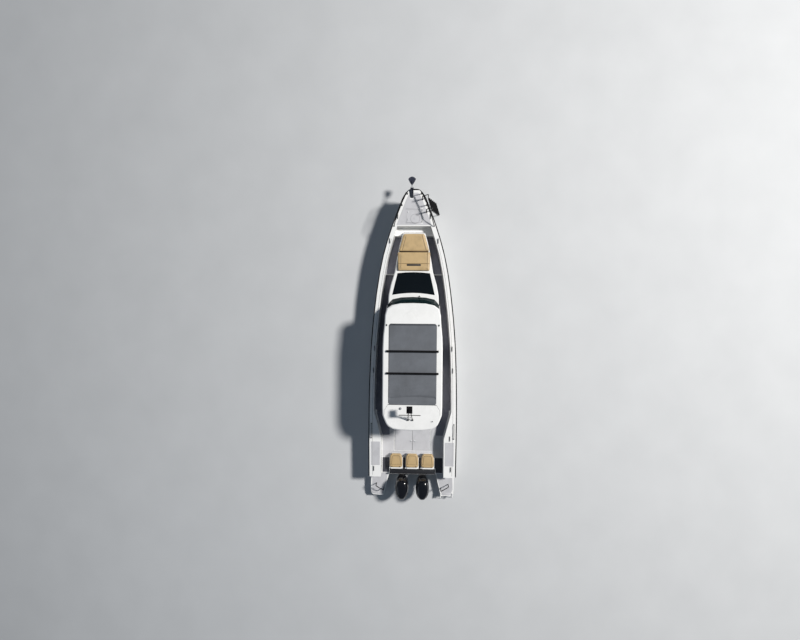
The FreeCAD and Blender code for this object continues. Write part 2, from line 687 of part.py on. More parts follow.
stools = []
helm_pads = []
for side, y in (("port", 480), ("starboard", -480)):
    foot = cylinder("stool_foot_" + side, 5230, y, "sole + pad", 170, 20)
    post = cylinder("stool_post_" + side, 5230, y, "sole + pad", 60, 470)
    tray = box("stool_tray_" + side, 4990, y - 250, 914, 500, 500, 40)
    back = box("stool_back_" + side, 4950, y - 250, 914, 40, 500, 560)
    stools.append(fuse("stool_" + side, foot, post, tray, back))
    seat = box("stool_seat_" + side, 4990, y - 240, 954, 490, 480, 100)
    rest = box("stool_rest_" + side, 4990, y - 235, 1060, 80, 470, 400)
    helm_pads.append(fuse("stool_pad_" + side, seat, rest))
helm_seats = group("helm_seats", *stools)
helm_seat_cushions = group("helm_seat_cushions", *helm_pads)

sofa_base = box("sofa_base", 2560, 430, "sole + pad", 1540, 500, 350)
sofa_seat = box("sofa_seat", 2570, 440, "sole + pad + 350", 1520, 490, 110)
sofa_back = box("sofa_back", 2570, 820, "sole + pad + 350", 1520, 110, 340)
sofa_cushions = fuse("sofa_cushions", sofa_seat, sofa_back)

# Aft seats

shells = []
cushions = []
for i, y in enumerate((630, 13, -585)):
    def seat_ring(inset, y=y):
        half = 260 - inset
        return [("%.1f" % a, "%.1f" % (y + b)) for a, b in (
            (230 + inset, -half), (650, -half), (835 - inset, -half + 120), (835 - inset, half - 120),
            (650, half), (230 + inset, half))]
    shell = loft("aft_shell_%d" % i, "XY_Plane", [
        ("sole", seat_ring(70)), ("sole + 120", seat_ring(60)), ("seat_top - 70", seat_ring(5)),
        ("seat_top - 30", seat_ring(0))])
    lip = box("aft_lip_%d" % i, 230, y - 200, "seat_top - 30", 50, 400, 30)
    shells.append(fuse("aft_seat_%d" % i, shell, lip))
    cushions.append(loft("aft_cushion_%d" % i, "XY_Plane", [
        ("seat_top - 30", [(a, b) for a, b in [
            (282, y - 215), (308, y - 247), (655, y - 247), (826, y - 136), (826, y + 136), (655, y + 247),
            (308, y + 247), (282, y + 215)]]),
        ("seat_top + 50", [(a, b) for a, b in [
            (282, y - 215), (308, y - 247), (655, y - 247), (826, y - 136), (826, y + 136), (655, y + 247),
            (308, y + 247), (282, y + 215)]]),
        ("seat_top + 80", [(a, b) for a, b in [
            (312, y - 190), (336, y - 217), (640, y - 217), (796, y - 118), (796, y + 118), (640, y + 217),
            (336, y + 217), (312, y + 190)]])]))
aft_seat_shells = group("aft_seat_shells", *shells)
aft_seat_cushions = group("aft_seat_cushions", *cushions)

# Sunpad, berth and cabin door

SUNPAD = [(9240, 0), (9235, 340), (9170, 400), (8550, 570), (8200, 610), (7860, 575), (7825, 530), (7825, 0)]


def sunpad_ring(shrink):
    return mirrored([("%.1f" % (8530 + (x - 8530) * (1 - shrink / 710)), "%.1f" % (y * (1 - shrink / 600)))
                     for x, y in SUNPAD])


sunpad_block = loft("sunpad_block", "XY_Plane", [
    ("coach_top", sunpad_ring(10)), ("coach_top + 15", sunpad_ring(0)),
    ("coach_top + sunpad_thick - 25", sunpad_ring(0)), ("coach_top + sunpad_thick", sunpad_ring(25))])
sunpad = cut("sunpad", sunpad_block, box("sunpad_slot", 8015, -265, 1220, 70, 530, 100))
cabin_berth = plan("cabin_berth", 420, 560, mirrored([(7620, 545), (8300, 485), (9060, 340)]))
door_leaf = box("door_leaf", "bulkhead", "60 + gap", "460 + gap", 28, "560 - gap * 2", "970 - gap * 2")
cabin_door = fuse("cabin_door", door_leaf, *[knuckle for knuckle, ears in DOOR_HINGES])

# Bow rails, handrails and platform hoops



def deck_foot(label, x, y, radius):
    """A round foot plate lying on the sloping deck."""
    slope = (sheer_z(x + 5) - sheer_z(x - 5)) / 10
    return cylinder(label, x, y, sheer_z(x), radius, 8, (-slope, 0, 1))


rails = []
for side, sign in (("port", 1), ("starboard", -1)):
    def spot(x, inset, lift, sign=sign):
        return (x, sign * (sheer_y(x) - inset), sheer_z(x) + lift)
    tall = value("rail_high")
    thick = value("rail_radius")
    main = tube("bow_rail_" + side, [spot(9500, 50, 4), spot(9500, 50, 60), spot(9800, 50, tall), spot(10270, 50, tall),
                                     spot(10690, 50, tall), spot(10690, 50, 4)], thick)
    middle = tube("bow_post_" + side, [spot(10270, 50, 4), spot(10270, 50, tall)], thick)
    feet = [deck_foot("bow_foot_%s_%d" % (side, i), x, spot(x, 50, 0)[1], 27)
            for i, x in enumerate((9500, 10270, 10690))]
    rails.append(fuse("bow_frame_" + side, main, middle, *feet))
    hand_rail = tube("hand_tube_" + side, [spot(1480, 70, 4), spot(1480, 70, 60), spot(2030, 70, 60),
                                           spot(2030, 70, 4)], 11, 25)
    feet = [deck_foot("hand_foot_%s_%d" % (side, i), x, spot(x, 70, 0)[1], 20)
            for i, x in enumerate((1480, 2030))]
    rails.append(fuse("hand_rail_" + side, hand_rail, *feet))
    (near_x, near_y), (far_x, far_y) = HOOP
    low = value("platform_top")
    rails.append(tube("platform_hoop_" + side, [
        (near_x, sign * near_y, low), (near_x, sign * near_y, low + 380), (far_x, sign * far_y, low + 380),
        (far_x, sign * far_y, low)], thick))
deck_rails = group("deck_rails", *rails)

# Boarding ladder hooked over the starboard bow

tread_turn = math.degrees(math.atan2(145, 470))
stringers = []
ladder_edge = 1310
for i, (post, foot) in enumerate(zip(LADDER_POSTS, LADDER_FEET)):
    deck_z = sheer_z(foot.x)
    top_in = V(foot.x, foot.y, deck_z + 540)
    top_out = V(post.x, post.y, deck_z + 540)
    edge = V(post.x, post.y, ladder_edge)
    low = post + ladder_out * 300 + V(0, 0, -20)
    stringers.append(deck_foot("ladder_foot_%d" % i, foot.x, foot.y, 30))
    stringers.append(tube("ladder_side_%d" % i, [tuple(V(foot.x, foot.y, deck_z + 3)), tuple(top_in),
                                                 tuple(top_out), tuple(edge), tuple(low)], 15))
treads = []
along = (LADDER_POSTS[0] - LADDER_POSTS[1]).normalize()
for i in range(5):
    share = 0.08 + 0.9 * i / 4
    height = ladder_edge - (20 + ladder_edge) * share
    centre = LADDER_POSTS[1] + ladder_out * (300 * share + 45) - along * 10
    tread = box("ladder_tread_%d" % i, "%.2f" % centre.x, "%.2f" % centre.y, "%.2f" % (height - 12), 512, 90, 25)
    tread.Placement.Rotation = FreeCAD.Rotation(V(0, 0, 1), tread_turn)
    treads.append(tread)
bow_ladder = fuse("bow_ladder", *(stringers + treads))

# Anchor, roller and locker lid

deck_nose = sheer_z(10640)
roller_base = box("roller_base", 10520, 40, sheer_z(10640) + 6, 300, 100, 8)
roller_foot = box("roller_foot", 10540, 50, sheer_z(10440) - 30, 180, 80, 50)
cheek_points = [(10560, deck_nose + 6), (10930, deck_nose + 6), (10940, deck_nose + 80),
                (10860, deck_nose + 90), (10600, deck_nose + 30)]
roller_cheeks = [profile("roller_cheek_0", 148, 8, cheek_points), profile("roller_cheek_1", 40, 8, cheek_points)]
roller_wheel = cylinder("roller_wheel", 10890, 30, deck_nose + 40, 26, 120, (0, 1, 0))
roller_nose = box("roller_nose", 10560, 32, deck_nose + 6, 300, 116, 8)
roller_raw = fuse("roller_raw", roller_nose, roller_wheel, roller_foot, *roller_cheeks)
bow_roller = cut("bow_roller", roller_raw, whole_hull)
shank_low = deck_nose + 66
shank = profile("anchor_shank", 101, 22, [
    (10600, shank_low), (10960, shank_low), (11090, shank_low - 60), (11160, shank_low - 150),
    (11190, shank_low - 120), (11130, shank_low - 10), (10980, shank_low + 40), (10600, shank_low + 30)])
fluke = plan("anchor_fluke", "%.1f" % (shank_low - 160), "%.1f" % (shank_low - 130), [
    (11360, 90), (11335, 170), (11270, 237), (11170, 190), (11060, 120), (11060, 60), (11170, -10),
    (11270, -57), (11335, 10)])
anchor = fuse("anchor", shank, fluke)
locker_leaf = box("locker_leaf", 9626, -277, sheer_z(9900) + 6 - 20, 498, 561, 20)
anchor_locker_lid = fuse("anchor_locker_lid", locker_leaf, *[knuckle for knuckle, ears in LOCKER_HINGES])

# Cockpit sole hatches

lids = []
for side, low, pair in (("port", "gap / 2", HATCH_HINGES[0]), ("starboard", "-hatch_half", HATCH_HINGES[1])):
    leaf = box("hatch_leaf_" + side, "880 + gap", low, "sole + pad - lid_thick", "1370 - gap * 2",
               "hatch_half - gap / 2", "lid_thick")
    lids.append(fuse("cockpit_hatch_" + side, leaf, *[knuckle for knuckle, ears in pair]))

# Cleats

cleats = []
for i, (x, side, inset) in enumerate(((320, 1, 164), (320, -1, 164), (1490, -1, 220), (4070, 1, 105),
                                      (4070, -1, 105), (4900, 1, 105), (4900, -1, 105), (8940, 1, 75),
                                      (8940, -1, 75), (9850, 1, 60), (9850, -1, 60))):
    y = side * (sheer_y(x) - inset)
    z = sheer_z(x) + 4 if x < 1000 else sheer_z(x)
    feet = [box("cleat_foot_%d_%d" % (i, k), x + shift, y - 12, z - 3, 24, 24, 36)
            for k, shift in enumerate((-45, 21))]
    horn = cylinder("cleat_horn_%d" % i, x - 95, y, z + 38, 11, 190, (1, 0, 0))
    cleats.append(fuse("cleat_%d" % i, horn, *feet))
cleats_raw = group("cleats_raw", *cleats)
deck_cleats = cut("deck_cleats", cleats_raw, whole_hull, deck_panels)

# Swim platforms and ladder

platforms = []
quarter = value("half_beam") - 1640
PLATFORM = [(0, 900), (0, 1590 + quarter), (-230, 1620 + quarter), (-670, 1620 + quarter),
            (-800, 1600 + quarter), (-880, 1540 + quarter), (-900, 1120)]
POD = [(0, 990), (0, 1520 + quarter), (-300, 1540 + quarter), (-600, 1540 + quarter),
       (-720, 1500 + quarter), (-790, 1420 + quarter), (-780, 1140)]
for side, sign in (("port", ""), ("starboard", "-")):
    slab = plan("platform_slab_" + side, "platform_top - platform_thick", "platform_top",
                [(x, "%s%d" % (sign, y)) for x, y in PLATFORM])
    pod = loft("platform_pod_" + side, "XY_Plane", [
        (-160, [(x * 0.8, "%s%.1f" % (sign, 1260 + (y - 1260) * 0.6)) for x, y in POD]),
        ("platform_top - platform_thick", [(x, "%s%d" % (sign, y)) for x, y in POD])])
    if side == "starboard":
        lugs = [box("ladder_lug_%d" % i, -950, low, 362, 160, 26, 56) for i, low in enumerate((-1582, -1124))]
        pin_hole = cylinder("ladder_pin_hole", -932, -1600, 400, "10 + pin_play", 520, (0, 1, 0))
        platforms.append(cut("platform_" + side, fuse("platform_raw", slab, pod, *lugs), pin_hole))
    else:
        platforms.append(fuse("platform_" + side, slab, pod))
swim_platforms = group("swim_platforms", *platforms)
ladder_sides = [tube("swim_side_%d" % i, [(-932, y, 400), (-932, y, -620)], 14)
                for i, y in enumerate((-1155, -1525))]
ladder_rungs = [box("swim_rung_%d" % i, -960, -1535, 130 - 230 * i, 60, 390, 22) for i in range(4)]
ladder_pin = cylinder("ladder_pin", -932, -1582, 400, 10, 484, (0, 1, 0))
swim_ladder = fuse("swim_ladder", ladder_pin, *(ladder_sides + ladder_rungs))

# Wiper

wiper_foot = cylinder("wiper_foot", 6862, -225, "screen_foot", 20, 45)
wiper_arm = tube("wiper_arm", [(6862, -225, 1555), (6700, -330, 1930)], 8)
wiper = fuse("wiper", wiper_foot, wiper_arm)

# Outboards


def motor_node(label, thing, side):
    """A piece drawn on the centreline, set off to its own side."""
    copy = doc.addObject("Part::Compound", label)
    copy.Links = [thing]
    tie(copy, "Placement.Base.y", "motor_off" if side == "port" else "-motor_off")
    return copy


COWL = [
    # height share, front x, rear x, half breadth share, nose share
    (0.00, -5, -810, 0.86),
    (0.12, 0, -845, 0.96),
    (0.45, -30, -860, 1.00),
    (0.80, -80, -820, 0.93),
    (0.94, -130, -750, 0.76),
    (1.00, -190, -660, 0.52),
]


def cowl_ring(front, rear, share):
    long = front - rear
    half = []
    for along_share, wide_share in ((0, 0.48), (0.10, 0.76), (0.28, 0.95), (0.50, 1.0), (0.74, 0.84),
                                    (0.92, 0.52), (1, 0.28)):
        half.append(("%.1f" % (front - long * along_share), "cowl_half * %.4f" % (wide_share * share)))
    return mirrored(half)


cowl_master = loft("cowl_master", "XY_Plane", [
    ("cowl_base + cowl_high * %.2f" % up, cowl_ring(front, rear, share)) for up, front, rear, share in COWL])

LEG = [
    # z, front x, rear x, half breadth
    (-400, -200, -430, 16),
    (-380, -200, -440, 30),
    (-200, -200, -430, 45),
    (200, -200, -430, 66),
    (560, -200, -470, 80),
    (645, -170, -580, 130),
    (700, -80, -700, 185),
]


def leg_ring(front, rear, half):
    long = front - rear
    return mirrored([("%.1f" % (front - long * a), "%.1f" % (half * b)) for a, b in (
        (0, 0.35), (0.12, 0.8), (0.35, 1.0), (0.7, 0.8), (1, 0.3))])


leg_body = loft("leg_body", "XY_Plane", [(z, leg_ring(front, rear, half)) for z, front, rear, half in LEG])
vent_plate = plan("vent_plate", -372, -360, mirrored([
    (-130, 20), (-200, 70), (-400, 105), (-690, 100), (-735, 60)]))
case_profile = [(-90, 0), (-110, 24), (-160, 48), (-240, 62), (-480, 62), (-575, 48), (-575, 0)]
gearcase = doc.addObject("Part::Feature", "gearcase")
case_wire = Part.makePolygon([V(x, 0, r) for x, r in case_profile] + [V(case_profile[0][0], 0, 0)])
gearcase.Shape = Part.Face(case_wire).revolve(V(0, 0, 0), V(1, 0, 0), 360)
place(gearcase, 0, 0, "-shaft_z")
fin = loft("fin", "XY_Plane", [(-830, leg_ring(-330, -470, 8)), (-620, leg_ring(-250, -540, 16)),
                               (-370, leg_ring(-200, -470, 22))])
kingpin = cylinder("kingpin", "-steer_back", 0, 205, 20, 495)
yoke = box("yoke", "-steer_back - 130", -24, 205, 140, 48, 30)
prop_shaft = cylinder("prop_shaft", -745, 0, "-shaft_z", 12, 180, (1, 0, 0))
shaft_nut = cylinder("shaft_nut", -760, 0, "-shaft_z", 20, 24, (1, 0, 0))
leg_master = fuse("leg_master", leg_body, vent_plate, gearcase, fin, kingpin, yoke, prop_shaft, shaft_nut)

swivel_side = profile("swivel_side", 100, 200, [
    (-170, 250), (-60, 250), (-26, 330), (-24, 625), (-36, 662), (-85, 662), (-170, 600)])
swivel_top = plan("swivel_top", 200, 700, mirrored([(-20, 95), (-90, 95), (-130, 55), (-165, 32)]))
swivel_pin = cylinder("swivel_pin", "-tilt_back", -138, "tilt_up", 16, 276, (0, 1, 0))
swivel_bore = cylinder("swivel_bore", "-steer_back", 0, 200, "20 + pin_play", 500)
swivel_master = cut("swivel_master", fuse("swivel_raw", common("swivel_block", swivel_side, swivel_top),
                                          swivel_pin), swivel_bore)

clamps = []
for side, centre in (("port", "motor_off"), ("starboard", "-motor_off")):
    for name, near in (("left", "110 + 26"), ("right", "-110")):
        clamps.append(profile("clamp_%s_%s" % (side, name), "%s + %s" % (centre, near), 26, [
            (0, 260), (0, 572), (-24, 666), (-76, 666), (-84, 560), (-50, 300)]))
tilt_bore = cylinder("tilt_bore", "-tilt_back", -900, "tilt_up", "16 + pin_play", 1800, (0, 1, 0))
clamp_brackets = cut("clamp_brackets", group("clamps_raw", *clamps), tilt_bore)

prop_hub = cylinder("prop_hub", -730, 0, "-shaft_z", 42, 148, (1, 0, 0))
hub_bore = cylinder("hub_bore", -800, 0, "-shaft_z", "12 + pin_play", 300, (1, 0, 0))
blades = []
for i in range(3):
    body = plan("blade_%d" % i, -5, 5, [(30, -45), (110, -85), (175, -70), (198, -10), (180, 45), (120, 60),
                                        (30, 35)])
    pitch = FreeCAD.Rotation(V(1, 0, 0), 62)
    lift = FreeCAD.Rotation(V(0, 1, 0), -90)
    spinby = FreeCAD.Rotation(V(1, 0, 0), 120 * i)
    body.Placement = FreeCAD.Placement(V(-640, 0, -value("shaft_z")), spinby * lift * pitch)
    blades.append(body)
prop_master = cut("prop_master", fuse("prop_raw", prop_hub, *blades), hub_bore)

motors = {}
for side in ("port", "starboard"):
    for name, master in (("swivel_bracket", swivel_master), ("outboard_cowl", cowl_master),
                         ("outboard_leg", leg_master), ("propeller", prop_master)):
        motors[name + "_" + side] = motor_node(name + "_" + side, master, side)

NODES = {
    "hull": hull, "deck_moulding": deck_moulding, "rub_rail": rub_rail, "deck_panels": deck_panels, "coachroof": coachroof,
    "windows": dark_windows, "wheelhouse_sides": wheelhouse_sides, "windscreen": windscreen,
    "roof": roof, "roof_canvas": roof_canvas, "canopy_bow": canopy_bow, "roof_rack": roof_rack,
    "light_mast": light_mast, "helm_console": helm_console, "steering_wheel": steering_wheel,
    "throttle": throttle, "helm_seats": helm_seats, "helm_seat_cushions": helm_seat_cushions,
    "sofa_base": sofa_base, "sofa_cushions": sofa_cushions, "aft_seat_shells": aft_seat_shells,
    "aft_seat_cushions": aft_seat_cushions, "sunpad": sunpad, "cabin_berth": cabin_berth,
    "cabin_door": cabin_door, "deck_rails": deck_rails, "bow_ladder": bow_ladder,
    "bow_roller": bow_roller, "anchor": anchor, "anchor_locker_lid": anchor_locker_lid,
    "cockpit_hatch_port": lids[0], "cockpit_hatch_starboard": lids[1], "deck_cleats": deck_cleats,
    "swim_platforms": swim_platforms, "swim_ladder": swim_ladder, "wiper": wiper,
    "clamp_brackets": clamp_brackets,
}
NODES.update(motors)

doc.recompute()
for thing in doc.Objects:
    if "Invalid" in thing.State or "Error" in thing.State:
        raise RuntimeError("not computed: " + thing.Label)
for node, thing in NODES.items():
    shape = thing.Shape
    if shape.isNull() or not shape.isValid() or not shape.Solids:
        raise RuntimeError("bad shape: " + node)
for node, thing in NODES.items():
    thing.Shape.exportStep("parts/%s.step" % node)
    print(node, len(thing.Shape.Solids), round(thing.Shape.Volume / 1e9, 5))
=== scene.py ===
import json
import math

import bmesh
import bpy
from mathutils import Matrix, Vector
from mathutils.bvhtree import BVHTree


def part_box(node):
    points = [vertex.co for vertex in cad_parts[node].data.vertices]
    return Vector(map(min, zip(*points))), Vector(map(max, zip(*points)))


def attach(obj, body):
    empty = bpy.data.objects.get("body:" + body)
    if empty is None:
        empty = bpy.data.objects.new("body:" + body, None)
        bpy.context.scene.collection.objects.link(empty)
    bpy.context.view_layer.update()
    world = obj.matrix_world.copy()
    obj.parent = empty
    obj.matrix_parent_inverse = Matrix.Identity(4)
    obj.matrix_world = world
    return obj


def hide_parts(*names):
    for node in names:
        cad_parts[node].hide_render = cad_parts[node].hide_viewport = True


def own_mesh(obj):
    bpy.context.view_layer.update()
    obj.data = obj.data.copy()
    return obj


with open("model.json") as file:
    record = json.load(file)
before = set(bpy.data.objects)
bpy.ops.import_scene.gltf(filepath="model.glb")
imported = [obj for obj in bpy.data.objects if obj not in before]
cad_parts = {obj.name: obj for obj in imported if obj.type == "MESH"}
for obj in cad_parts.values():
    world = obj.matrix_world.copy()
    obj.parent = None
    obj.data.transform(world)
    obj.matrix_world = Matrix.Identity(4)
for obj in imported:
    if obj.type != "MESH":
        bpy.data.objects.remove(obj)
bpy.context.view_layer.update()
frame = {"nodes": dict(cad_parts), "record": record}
NODES = frame["nodes"]

# Camera straight above the boat, as in the photograph. The bow points to the top of the picture.

CAMERA_AT = (5.985, -0.30, 21.3)
CAMERA_LEAN, CAMERA_TURN = 2.29, -89.5
camera_data = bpy.data.cameras.new("camera")
camera_data.sensor_width = 36
camera_data.lens = 24
camera_data.clip_end = 200
camera = bpy.data.objects.new("camera", camera_data)
camera.location = CAMERA_AT
camera.rotation_euler = (0, math.radians(CAMERA_LEAN), math.radians(CAMERA_TURN))
bpy.context.collection.objects.link(camera)
bpy.context.scene.camera = camera


def linked(obj):
    bpy.context.collection.objects.link(obj)
    return obj


# Floor at the waterline, and lights

FLOOR_HALF = 60
floor_mesh = bpy.data.meshes.new("floor")
floor_mesh.from_pydata([(-FLOOR_HALF, -FLOOR_HALF, 0), (FLOOR_HALF, -FLOOR_HALF, 0), (FLOOR_HALF, FLOOR_HALF, 0),
                        (-FLOOR_HALF, FLOOR_HALF, 0)], [], [(0, 1, 2, 3)])
floor = linked(bpy.data.objects.new("floor", floor_mesh))


def area_light(name, place, target, size, power, colour):
    data = bpy.data.lights.new(name, "AREA")
    data.shape = "DISK"
    data.size = size
    data.energy = power
    data.color = colour
    lamp = linked(bpy.data.objects.new(name, data))
    lamp.location = place
    lamp.rotation_euler = (Vector(target) - Vector(place)).to_track_quat("-Z", "Y").to_euler()


AIM = (5, 0, 1)
area_light("key", (18.5, -34.2, 46.0), AIM, 7.0, 44500, (1, 0.975, 0.94))
area_light("fill", (-6, 10, 12), AIM, 9, 100, (0.80, 0.90, 1))
world = bpy.data.worlds.new("world")
bpy.context.scene.world = world
world.use_nodes = True
world.node_tree.nodes["Background"].inputs["Color"].default_value = (0.60, 0.77, 1, 1)
world.node_tree.nodes["Background"].inputs["Strength"].default_value = 0.15
bpy.context.scene.view_settings.view_transform = "Standard"


# Materials


class Paint:
    """A procedural material built round one Principled shader."""

    def __init__(self, name, rough=0.4, metallic=0.0, coat=0.0, sheen=0.0, ior=1.5):
        self.made = bpy.data.materials.new(name)
        self.made.use_nodes = True
        self.tree = self.made.node_tree
        self.shader = self.tree.nodes["Principled BSDF"]
        self.shader.inputs["Roughness"].default_value = rough
        self.shader.inputs["Metallic"].default_value = metallic
        self.shader.inputs["Coat Weight"].default_value = coat
        self.shader.inputs["Sheen Weight"].default_value = sheen
        self.shader.inputs["IOR"].default_value = ior
        self.height = None
        self.where = self.tree.nodes.new("ShaderNodeTexCoord").outputs["Object"]

    def node(self, kind, **values):
        made = self.tree.nodes.new("ShaderNode" + kind)
        for key, value in values.items():
            setattr(made, key, value)
        return made

    def join(self, out, into):
        self.tree.links.new(out, into)

    def stretched(self, scale):
        node = self.node("Mapping")
        node.inputs["Scale"].default_value = scale
        self.join(self.where, node.inputs["Vector"])
        return node.outputs["Vector"]

    def noise(self, scale, detail=4.0, rough=0.5, stretch=None):
        node = self.node("TexNoise")
        node.inputs["Scale"].default_value = scale
        node.inputs["Detail"].default_value = detail
        node.inputs["Roughness"].default_value = rough
        self.join(self.stretched(stretch) if stretch else self.where, node.inputs["Vector"])
        return node.outputs["Fac"]

    def cells(self, scale, feature="F1"):
        node = self.node("TexVoronoi", feature=feature)
        node.inputs["Scale"].default_value = scale
        self.join(self.where, node.inputs["Vector"])
        return node.outputs["Distance"]

    def bands(self, scale, axis):
        node = self.node("TexWave", bands_direction=axis)
        node.inputs["Scale"].default_value = scale
        self.join(self.where, node.inputs["Vector"])
        return node.outputs["Fac"]

    def mixed(self, first, second, how="MULTIPLY"):
        node = self.node("Math", operation=how)
        for out, into in zip((first, second), node.inputs):
            if isinstance(out, (int, float)):
                into.default_value = out
            else:
                self.join(out, into)
        return node.outputs[0]

    def ranged(self, source, low, high, start=0.3, end=0.7):
        node = self.node("MapRange")
        for key, value in (("From Min", start), ("From Max", end), ("To Min", low), ("To Max", high)):
            node.inputs[key].default_value = value
        self.join(source, node.inputs["Value"])
        return node.outputs["Result"]

    def colour(self, source, stops):
        ramp = self.node("ValToRGB")
        while len(ramp.color_ramp.elements) < len(stops):
            ramp.color_ramp.elements.new(0.5)
        for element, (at, tone) in zip(ramp.color_ramp.elements, stops):
            element.position = at
            element.color = (*tone, 1)
        self.join(source, ramp.inputs["Fac"])
        self.join(ramp.outputs["Color"], self.shader.inputs["Base Color"])

    def rough(self, source, low, high):
        self.join(self.ranged(source, low, high), self.shader.inputs["Roughness"])

    def bump(self, source, distance, strength=0.6):
        node = self.node("Bump")
        node.inputs["Strength"].default_value = strength
        node.inputs["Distance"].default_value = distance
        self.join(source, node.inputs["Height"])
        if self.height is not None:
            self.join(self.height, node.inputs["Normal"])
        self.height = node.outputs["Normal"]
        self.join(self.height, self.shader.inputs["Normal"])


def shade(tone, factor):
    return tuple(min(1, channel * factor) for channel in tone)


def polished(paint):
    """Adds the sheen and the faint waves of gelcoat."""
    paint.rough(paint.noise(2.2, 4), 0.25, 0.31)
    paint.bump(paint.noise(90, 2), 0.0002, 0.12)
    return paint.made


def gelcoat(name, tone):
    paint = Paint(name, rough=0.2, coat=0.35)
    cloud = paint.noise(1.7, 6, 0.6)
    paint.colour(cloud, [(0.3, shade(tone, 0.93)), (0.55, tone), (0.8, shade(tone, 1.02))])
    return polished(paint)


PASSAGE_FROM, PASSAGE_SIDE = 1.48, 0.905
SIDE_DECK_FROM, SIDE_DECK_TO = 2.40, 9.35


def non_slip(name, tone, side_tone=None):
    """Grip with a mottled tone, and another tone along the side decks and the passages aft of them."""
    paint = Paint(name, rough=0.7)
    spots = paint.cells(150)
    cloud = paint.noise(2.3, 6, 0.65)
    mottle = paint.mixed(cloud, paint.ranged(spots, 0.8, 1.1, 0, 0.6))
    paint.colour(mottle, [(0.25, shade(tone, 0.84)), (0.5, tone), (0.75, shade(tone, 1.06))])
    if side_tone:
        place = paint.node("SeparateXYZ")
        paint.join(paint.where, place.inputs[0])
        x, breadth = place.outputs["X"], paint.mixed(place.outputs["Y"], 0, "ABSOLUTE")
        passage = paint.mixed(paint.mixed(x, PASSAGE_FROM, "GREATER_THAN"),
                              paint.mixed(breadth, PASSAGE_SIDE, "GREATER_THAN"))
        beside = paint.mixed(paint.mixed(x, SIDE_DECK_FROM, "GREATER_THAN"), passage, "MAXIMUM")
        along = paint.mixed(beside, paint.mixed(x, SIDE_DECK_TO, "LESS_THAN"))
        choose = paint.node("MixRGB")
        paint.join(along, choose.inputs["Fac"])
        paint.join(paint.shader.inputs["Base Color"].links[0].from_socket, choose.inputs["Color1"])
        ramp = paint.node("ValToRGB")
        for element, (at, factor) in zip(ramp.color_ramp.elements, ((0.3, 0.86), (0.7, 1.08))):
            element.position = at
            element.color = (*shade(side_tone, factor), 1)
        paint.join(mottle, ramp.inputs["Fac"])
        paint.join(ramp.outputs["Color"], choose.inputs["Color2"])
        paint.join(choose.outputs["Color"], paint.shader.inputs["Base Color"])
    paint.rough(paint.noise(12, 4), 0.55, 0.8)
    paint.bump(spots, 0.0016, 0.7)
    return paint.made


def vinyl(name, tone):
    paint = Paint(name, rough=0.5, sheen=0.15)
    cloud = paint.noise(3.5, 7, 0.6)
    paint.colour(cloud, [(0.28, shade(tone, 0.82)), (0.5, tone), (0.75, shade(tone, 1.1))])
    paint.rough(paint.noise(22, 5), 0.42, 0.62)
    paint.bump(paint.cells(420, "DISTANCE_TO_EDGE"), 0.0006, 0.5)
    paint.bump(paint.noise(14, 4), 0.003, 0.3)
    return paint.made


def canvas(name, tone):
    paint = Paint(name, rough=0.85, sheen=0.3)
    weave = paint.mixed(paint.bands(220, "X"), paint.bands(220, "Y"))
    cloud = paint.noise(1.9, 7, 0.62)
    paint.colour(paint.mixed(cloud, paint.ranged(weave, 0.86, 1.05, 0, 1)),
                 [(0.28, shade(tone, 0.78)), (0.5, tone), (0.72, shade(tone, 1.18))])
    paint.rough(cloud, 0.75, 0.95)
    paint.bump(weave, 0.0009, 0.6)
    return paint.made


def metal(name, tone, rough=(0.25, 0.45)):
    paint = Paint(name, metallic=0.9)
    streaks = paint.noise(30, 6, 0.6, (1, 1, 6))
    paint.colour(streaks, [(0.3, shade(tone, 0.75)), (0.55, tone), (0.8, shade(tone, 1.2))])
    paint.rough(streaks, *rough)
    paint.bump(paint.noise(260, 3), 0.0003, 0.3)
    return paint.made


def coated(name, tone, rough=(0.28, 0.5), coat=0.2, ior=1.5):
    paint = Paint(name, coat=coat, ior=ior)
    cloud = paint.noise(12, 6, 0.6)
    paint.colour(cloud, [(0.3, shade(tone, 0.7)), (0.55, tone), (0.8, shade(tone, 1.5))])
    paint.rough(paint.noise(40, 4), *rough)
    paint.bump(paint.noise(320, 2), 0.0003, 0.35)
    return paint.made


def glass(name, tone, clear, ior=1.33):
    paint = Paint(name, rough=0.05, ior=ior)
    paint.shader.inputs["Transmission Weight"].default_value = clear
    cloud = paint.noise(1.2, 3)
    paint.colour(cloud, [(0.3, shade(tone, 0.85)), (0.7, shade(tone, 1.1))])
    paint.rough(paint.noise(6, 5), 0.02, 0.09)
    return paint.made


def hull_paint(name, tone, below):
    """White gelcoat with dark bottom paint under the waterline; the white is darker towards the waterline over its
    lowest few centimetres.
    """
    paint = Paint(name, rough=0.2, coat=0.3)
    split = paint.node("SeparateXYZ")
    paint.join(paint.where, split.inputs[0])
    wobble = paint.ranged(paint.noise(7, 6), -0.006, 0.006)
    level = paint.mixed(split.outputs["Z"], wobble, "ADD")
    # Below the waterline the bottom paint grows darker downwards; above it the white grows darker towards the
    # waterline.
    paint.colour(paint.ranged(level, 0, 1, -0.06, 0.14), [
        (0.0, shade(below, 0.8)), (0.36, below), (0.4, shade(tone, 0.72)), (0.62, shade(tone, 0.93)), (1.0, tone)])
    return polished(paint)


